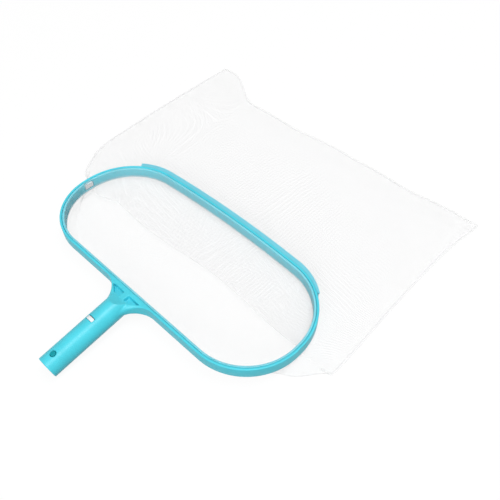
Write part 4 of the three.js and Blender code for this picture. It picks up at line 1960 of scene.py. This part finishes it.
    def hem(self, material: bpy.types.Material) -> bpy.types.Object:
        """Makes the hem: cloth over the ring's top and inner face, doubled in a narrow band at its foot.

        Args:
            material: Its finish.

        Returns:
            The hem.
        """
        s = self.sizes
        inner = s.shelf_inset + self.hem_clear
        foot = -s.hoop_height
        top = self.hem_clear - s.ring_below_rim
        section = [
            (-s.ring_inset - self.hem_start, top),
            *((x - inner, top + z) for x, z in self.hem_shoulder),
            *((-inner - x, foot + z) for x, z in self.hem_band),
            (-inner - self.hem_fold_in, foot + self.hem_fold),
        ]
        path = OUTLINE.round(self.hem_station)
        mesh = self.sweeps.sweep("hem", path, section, True, material, solid=False)
        mesh.shade_smooth()
        layout = mesh.uv_layers.new(name=CLOTH_LAYOUT)
        for loop in mesh.loops:
            point = mesh.vertices[loop.vertex_index].co
            around = math.atan2(point.y, point.x) * self.hem_radius
            layout.data[loop.index].uv = (around, point.z + point.xy.length)
        return settle("hem_wrap", mesh, material, Slot.TAPE, Body.HEAD, ("mouth_hem",), HOOP)

    def strip(self, path: Sequence[Vector], outward: Sequence[Vector]) -> bpy.types.Mesh:
        """Makes a folded tape over both layers' edges.

        Args:
            path: Points along the seam.
            outward: The way out from the bag at each.

        Returns:
            The tape's mesh.
        """
        half = self.layer / 2 + self.tape_clear
        thin = half * self.tape_taper
        corners = [(-self.tape_over, -half), (self.tape_width, -thin), (self.tape_width, thin)]
        section = rounded([*corners, (-self.tape_over, half)], self.tape_edge)
        rings = []
        for point, out in zip(path, outward):
            rings.append([point + out * x + Vector((0, 0, z)) for x, z in section])
        return smooth_shaded(loft("tape", rings))

    def seam_point(self, seam: Seam, stop: float) -> Vector:
        """Finds a place on a seam.

        Args:
            seam: Which seam.
            stop: From 0 to 1, with the bag on the left of the way.

        Returns:
            The point between the two layers.
        """
        lift = Vector((0, 0, self.layer / 2))
        run = 1 - self.seam_start
        if seam is Seam.BOTTOM:
            return self.near_point(1 - 2 * stop, 1) + lift
        if seam is Seam.LEFT:
            return self.near_point(-1, 1 - stop * run) + lift
        return self.near_point(1, self.seam_start + stop * run) + lift

    def seam_path(self, seam: Seam) -> tuple[list[Vector], list[Vector]]:
        """Walks along a seam.

        Args:
            seam: Which seam.

        Returns:
            The points, and the way out from the bag at each.
        """
        count = self.bottom_steps if seam is Seam.BOTTOM else self.side_steps
        path = [self.seam_point(seam, stop) for stop in np.linspace(0, 1, count + 1)]
        outward = []
        for k in range(count + 1):
            step = path[min(k + 1, count)] - path[max(k - 1, 0)]
            outward.append(Vector((step.y, -step.x, 0)).normalized())
        return path, outward

    def hem_stitch_path(self) -> list[Vector]:
        """Walks along the hem's stitches, all round the ring's foot.

        Returns:
            The points, in the model's frame.
        """
        inset = self.sizes.shelf_inset + self.hem_stitch_in
        height = self.hem_fold - self.sizes.hoop_height - self.hem_stitch_drop
        line = []
        for point, normal in OUTLINE.round(self.hem_stitch_station):
            place = point - normal * inset
            line.append(HOOP @ Vector((place.x, place.y, height)))
        return line

    def seams(self, tape: bpy.types.Material, thread: bpy.types.Material) -> list[bpy.types.Object]:
        """Makes the two side tapes, the bottom tape and all stitches.

        Args:
            tape: The tapes' finish.
            thread: The stitches' finish.

        Returns:
            The pieces.
        """
        rise = Vector((0, 0, self.layer / 2 + self.tape_clear))
        pieces = []
        runs = []
        for seam in Seam:
            path, outward = self.seam_path(seam)
            node = "bottom_seam" if seam is Seam.BOTTOM else f"side_seam_{seam.value}"
            mesh = self.strip(path, outward)
            pieces.append(settle(f"tape_{seam.value}", mesh, tape, Slot.TAPE, Body.HEAD, (node,)))
            runs.append([p + o * self.stitch_out + rise for p, o in zip(path, outward)])
        runs.append(self.hem_stitch_path())
        work = bmesh.new()
        for run in runs:
            work.from_mesh(self.stitches.run(run, thread))
        mesh = bpy.data.meshes.new("stitches")
        work.to_mesh(mesh)
        work.free()
        mesh.shade_smooth()
        pieces.append(settle("seam_stitches", mesh, thread, Slot.TAPE, Body.HEAD))
        return pieces

    def build(self) -> None:
        """Makes the bag."""
        net = NET_CLOTH.make()
        near = self.panel("near_panel_net", self.near_point, self.near_stops(), 0)
        near_piece = settle("near_panel_net", near, net, Slot.NET, Body.HEAD, ("bag_near_panel",))
        far = self.panel("far_panel_net", self.far_point, self.far_stops(), self.far_bias)
        far_piece = settle("far_panel_net", far, net, Slot.NET, Body.HEAD, ("bag_far_panel",))
        hem = self.hem(HEM_CLOTH.make())
        seams = self.seams(TAPE.make(), THREAD.make())


# ---- Camera, floor and light ---------------------------------------------------------------------


@dataclass(frozen=True)
class Softbox:
    """A large soft lamp that faces the model's origin."""

    name: str
    way: Vector
    distance: float
    size: tuple[float, float]
    power: float

    def hang(self) -> None:
        """Places the lamp."""
        data = bpy.data.lights.new(self.name, "AREA")
        data.shape = "RECTANGLE"
        data.size, data.size_y = self.size
        data.energy = self.power
        lamp = new_object(self.name, data)
        way = self.way.normalized()
        across = Vector((0, 0, 1)).cross(way).normalized()
        turn = Matrix((across, way.cross(across), way)).transposed().to_4x4()
        lamp.matrix_world = Matrix.Translation(way * self.distance) @ turn


OVERHEAD = Softbox("overhead", Vector((0.2, 0.05, 0.98)), 4.0, (3.4, 1.3), 98.0)
FRONT_FILL = Softbox("front_fill", Vector((0.45, -0.75, 0.42)), 5.0, (3.0, 3.0), 118.0)


@dataclass
class Studio:
    """The camera, the white floor and the soft lights."""

    azimuth: float = math.radians(44.04)
    elevation: float = math.radians(50.0)
    roll: float = math.radians(-0.64)
    distance: float = 730.79 * MM
    aim_right: float = 87.85 * MM
    aim_up: float = 1.64 * MM
    aim_shift: tuple[float, float] = (0.3 * MM, -1.6 * MM)
    focal_share: float = 563.2 / 500
    sensor: float = 36.0
    clip_start: float = 10 * MM
    floor_half: float = 6.0
    floor_tone: float = 0.09
    sky: float = 0.36
    lamps: tuple[Softbox, ...] = (OVERHEAD, FRONT_FILL)

    def camera(self) -> None:
        """Places the camera as it stands over the hoop, in the hoop's own frame."""
        flat = math.cos(self.elevation)
        sine, cosine = math.sin(self.azimuth), math.cos(self.azimuth)
        back = Vector((sine * flat, -cosine * flat, math.sin(self.elevation)))
        level = Vector((cosine, sine, 0))
        rise = back.cross(level)
        right = level * math.cos(self.roll) + rise * math.sin(self.roll)
        up = rise * math.cos(self.roll) - level * math.sin(self.roll)
        place = back * self.distance + right * self.aim_right + up * self.aim_up
        turn = Matrix((right, up, back)).transposed().to_4x4()
        shift = Matrix.Translation((-self.aim_shift[0], -self.aim_shift[1], 0))
        data = bpy.data.cameras.new("camera")
        data.sensor_width = self.sensor
        data.lens = self.focal_share * self.sensor
        data.clip_start = self.clip_start
        camera = new_object("camera", data)
        camera.matrix_world = HOOP @ shift @ Matrix.Translation(place) @ turn
        bpy.context.scene.camera = camera

    def seen_rays(self, tree: bpy.types.NodeTree) -> bpy.types.NodeSocket:
        """Finds out which rays see the white background.

        Args:
            tree: The node tree that asks.

        Returns:
            1 for camera, glossy and transmission rays, and 0 for the rest.
        """
        rays = add_node(tree, "ShaderNodeLightPath").outputs
        total = rays["Is Camera Ray"]
        for kind in ("Is Glossy Ray", "Is Transmission Ray"):
            either = add_node(tree, "ShaderNodeMath", {0: total, 1: rays[kind]}, operation="MAXIMUM")
            total = either.outputs[0]
        return total

    def floor(self) -> None:
        """A wide pale floor that the camera sees as white where nothing shades it."""
        half = self.floor_half
        corners = [(x, y, 0) for x, y in rectangle(-half, half, -half, half)]
        mesh = bpy.data.meshes.new("floor")
        mesh.from_pydata(corners, [], [(0, 1, 2, 3)])
        material = bpy.data.materials.new("white_floor")
        material.use_nodes = True
        tree = material.node_tree
        tree.nodes.clear()
        tone = self.floor_tone
        cover = add_node(tree, "ShaderNodeBsdfDiffuse", {"Color": (tone, tone, tone, 1)})
        level = add_node(tree, "ShaderNodeMath", {0: self.seen_rays(tree), 1: 1 - tone}, operation="MULTIPLY")
        glow = add_node(tree, "ShaderNodeEmission", {"Strength": level.outputs[0]})
        both = add_node(tree, "ShaderNodeAddShader", {0: cover.outputs[0], 1: glow.outputs[0]})
        add_node(tree, "ShaderNodeOutputMaterial", {"Surface": both.outputs[0]})
        mesh.materials.append(material)
        new_object("floor", mesh)

    def light(self) -> None:
        """A bright even sky, seen white by the camera, and the softboxes."""
        world = bpy.data.worlds.new("sky")
        world.use_nodes = True
        tree = world.node_tree
        inputs = {"Value": self.seen_rays(tree), "To Min": self.sky, "To Max": 1.0}
        level = add_node(tree, "ShaderNodeMapRange", inputs)
        sky = tree.nodes["Background"].inputs
        feed(sky["Color"], (1, 1, 1, 1))
        feed(sky["Strength"], level.outputs["Result"])
        bpy.context.scene.world = world
        for softbox in self.lamps:
            softbox.hang()

    def build(self) -> None:
        """Makes the camera, the floor and the lights."""
        self.camera()
        self.floor()
        self.light()
        bpy.context.scene.view_settings.view_transform = "Standard"


def main() -> None:
    """Builds the net and its studio."""
    logging.basicConfig(level=logging.INFO, format="%(message)s")
    Studio().build()
    sweeps = SweepTool()
    FrameMoulding(SIZES, sweeps).build(AQUA.make(), PALE_AQUA.make(), GATHER.make())
    SprungClip(SIZES).build(CLIP_AQUA_PLUS_SHADE.make(), PLUG_HIGHLIGHT_WHITE.make())
    MeshBag(SIZES, sweeps, StitchTool()).build()


if __name__ == "__main__":
    main()
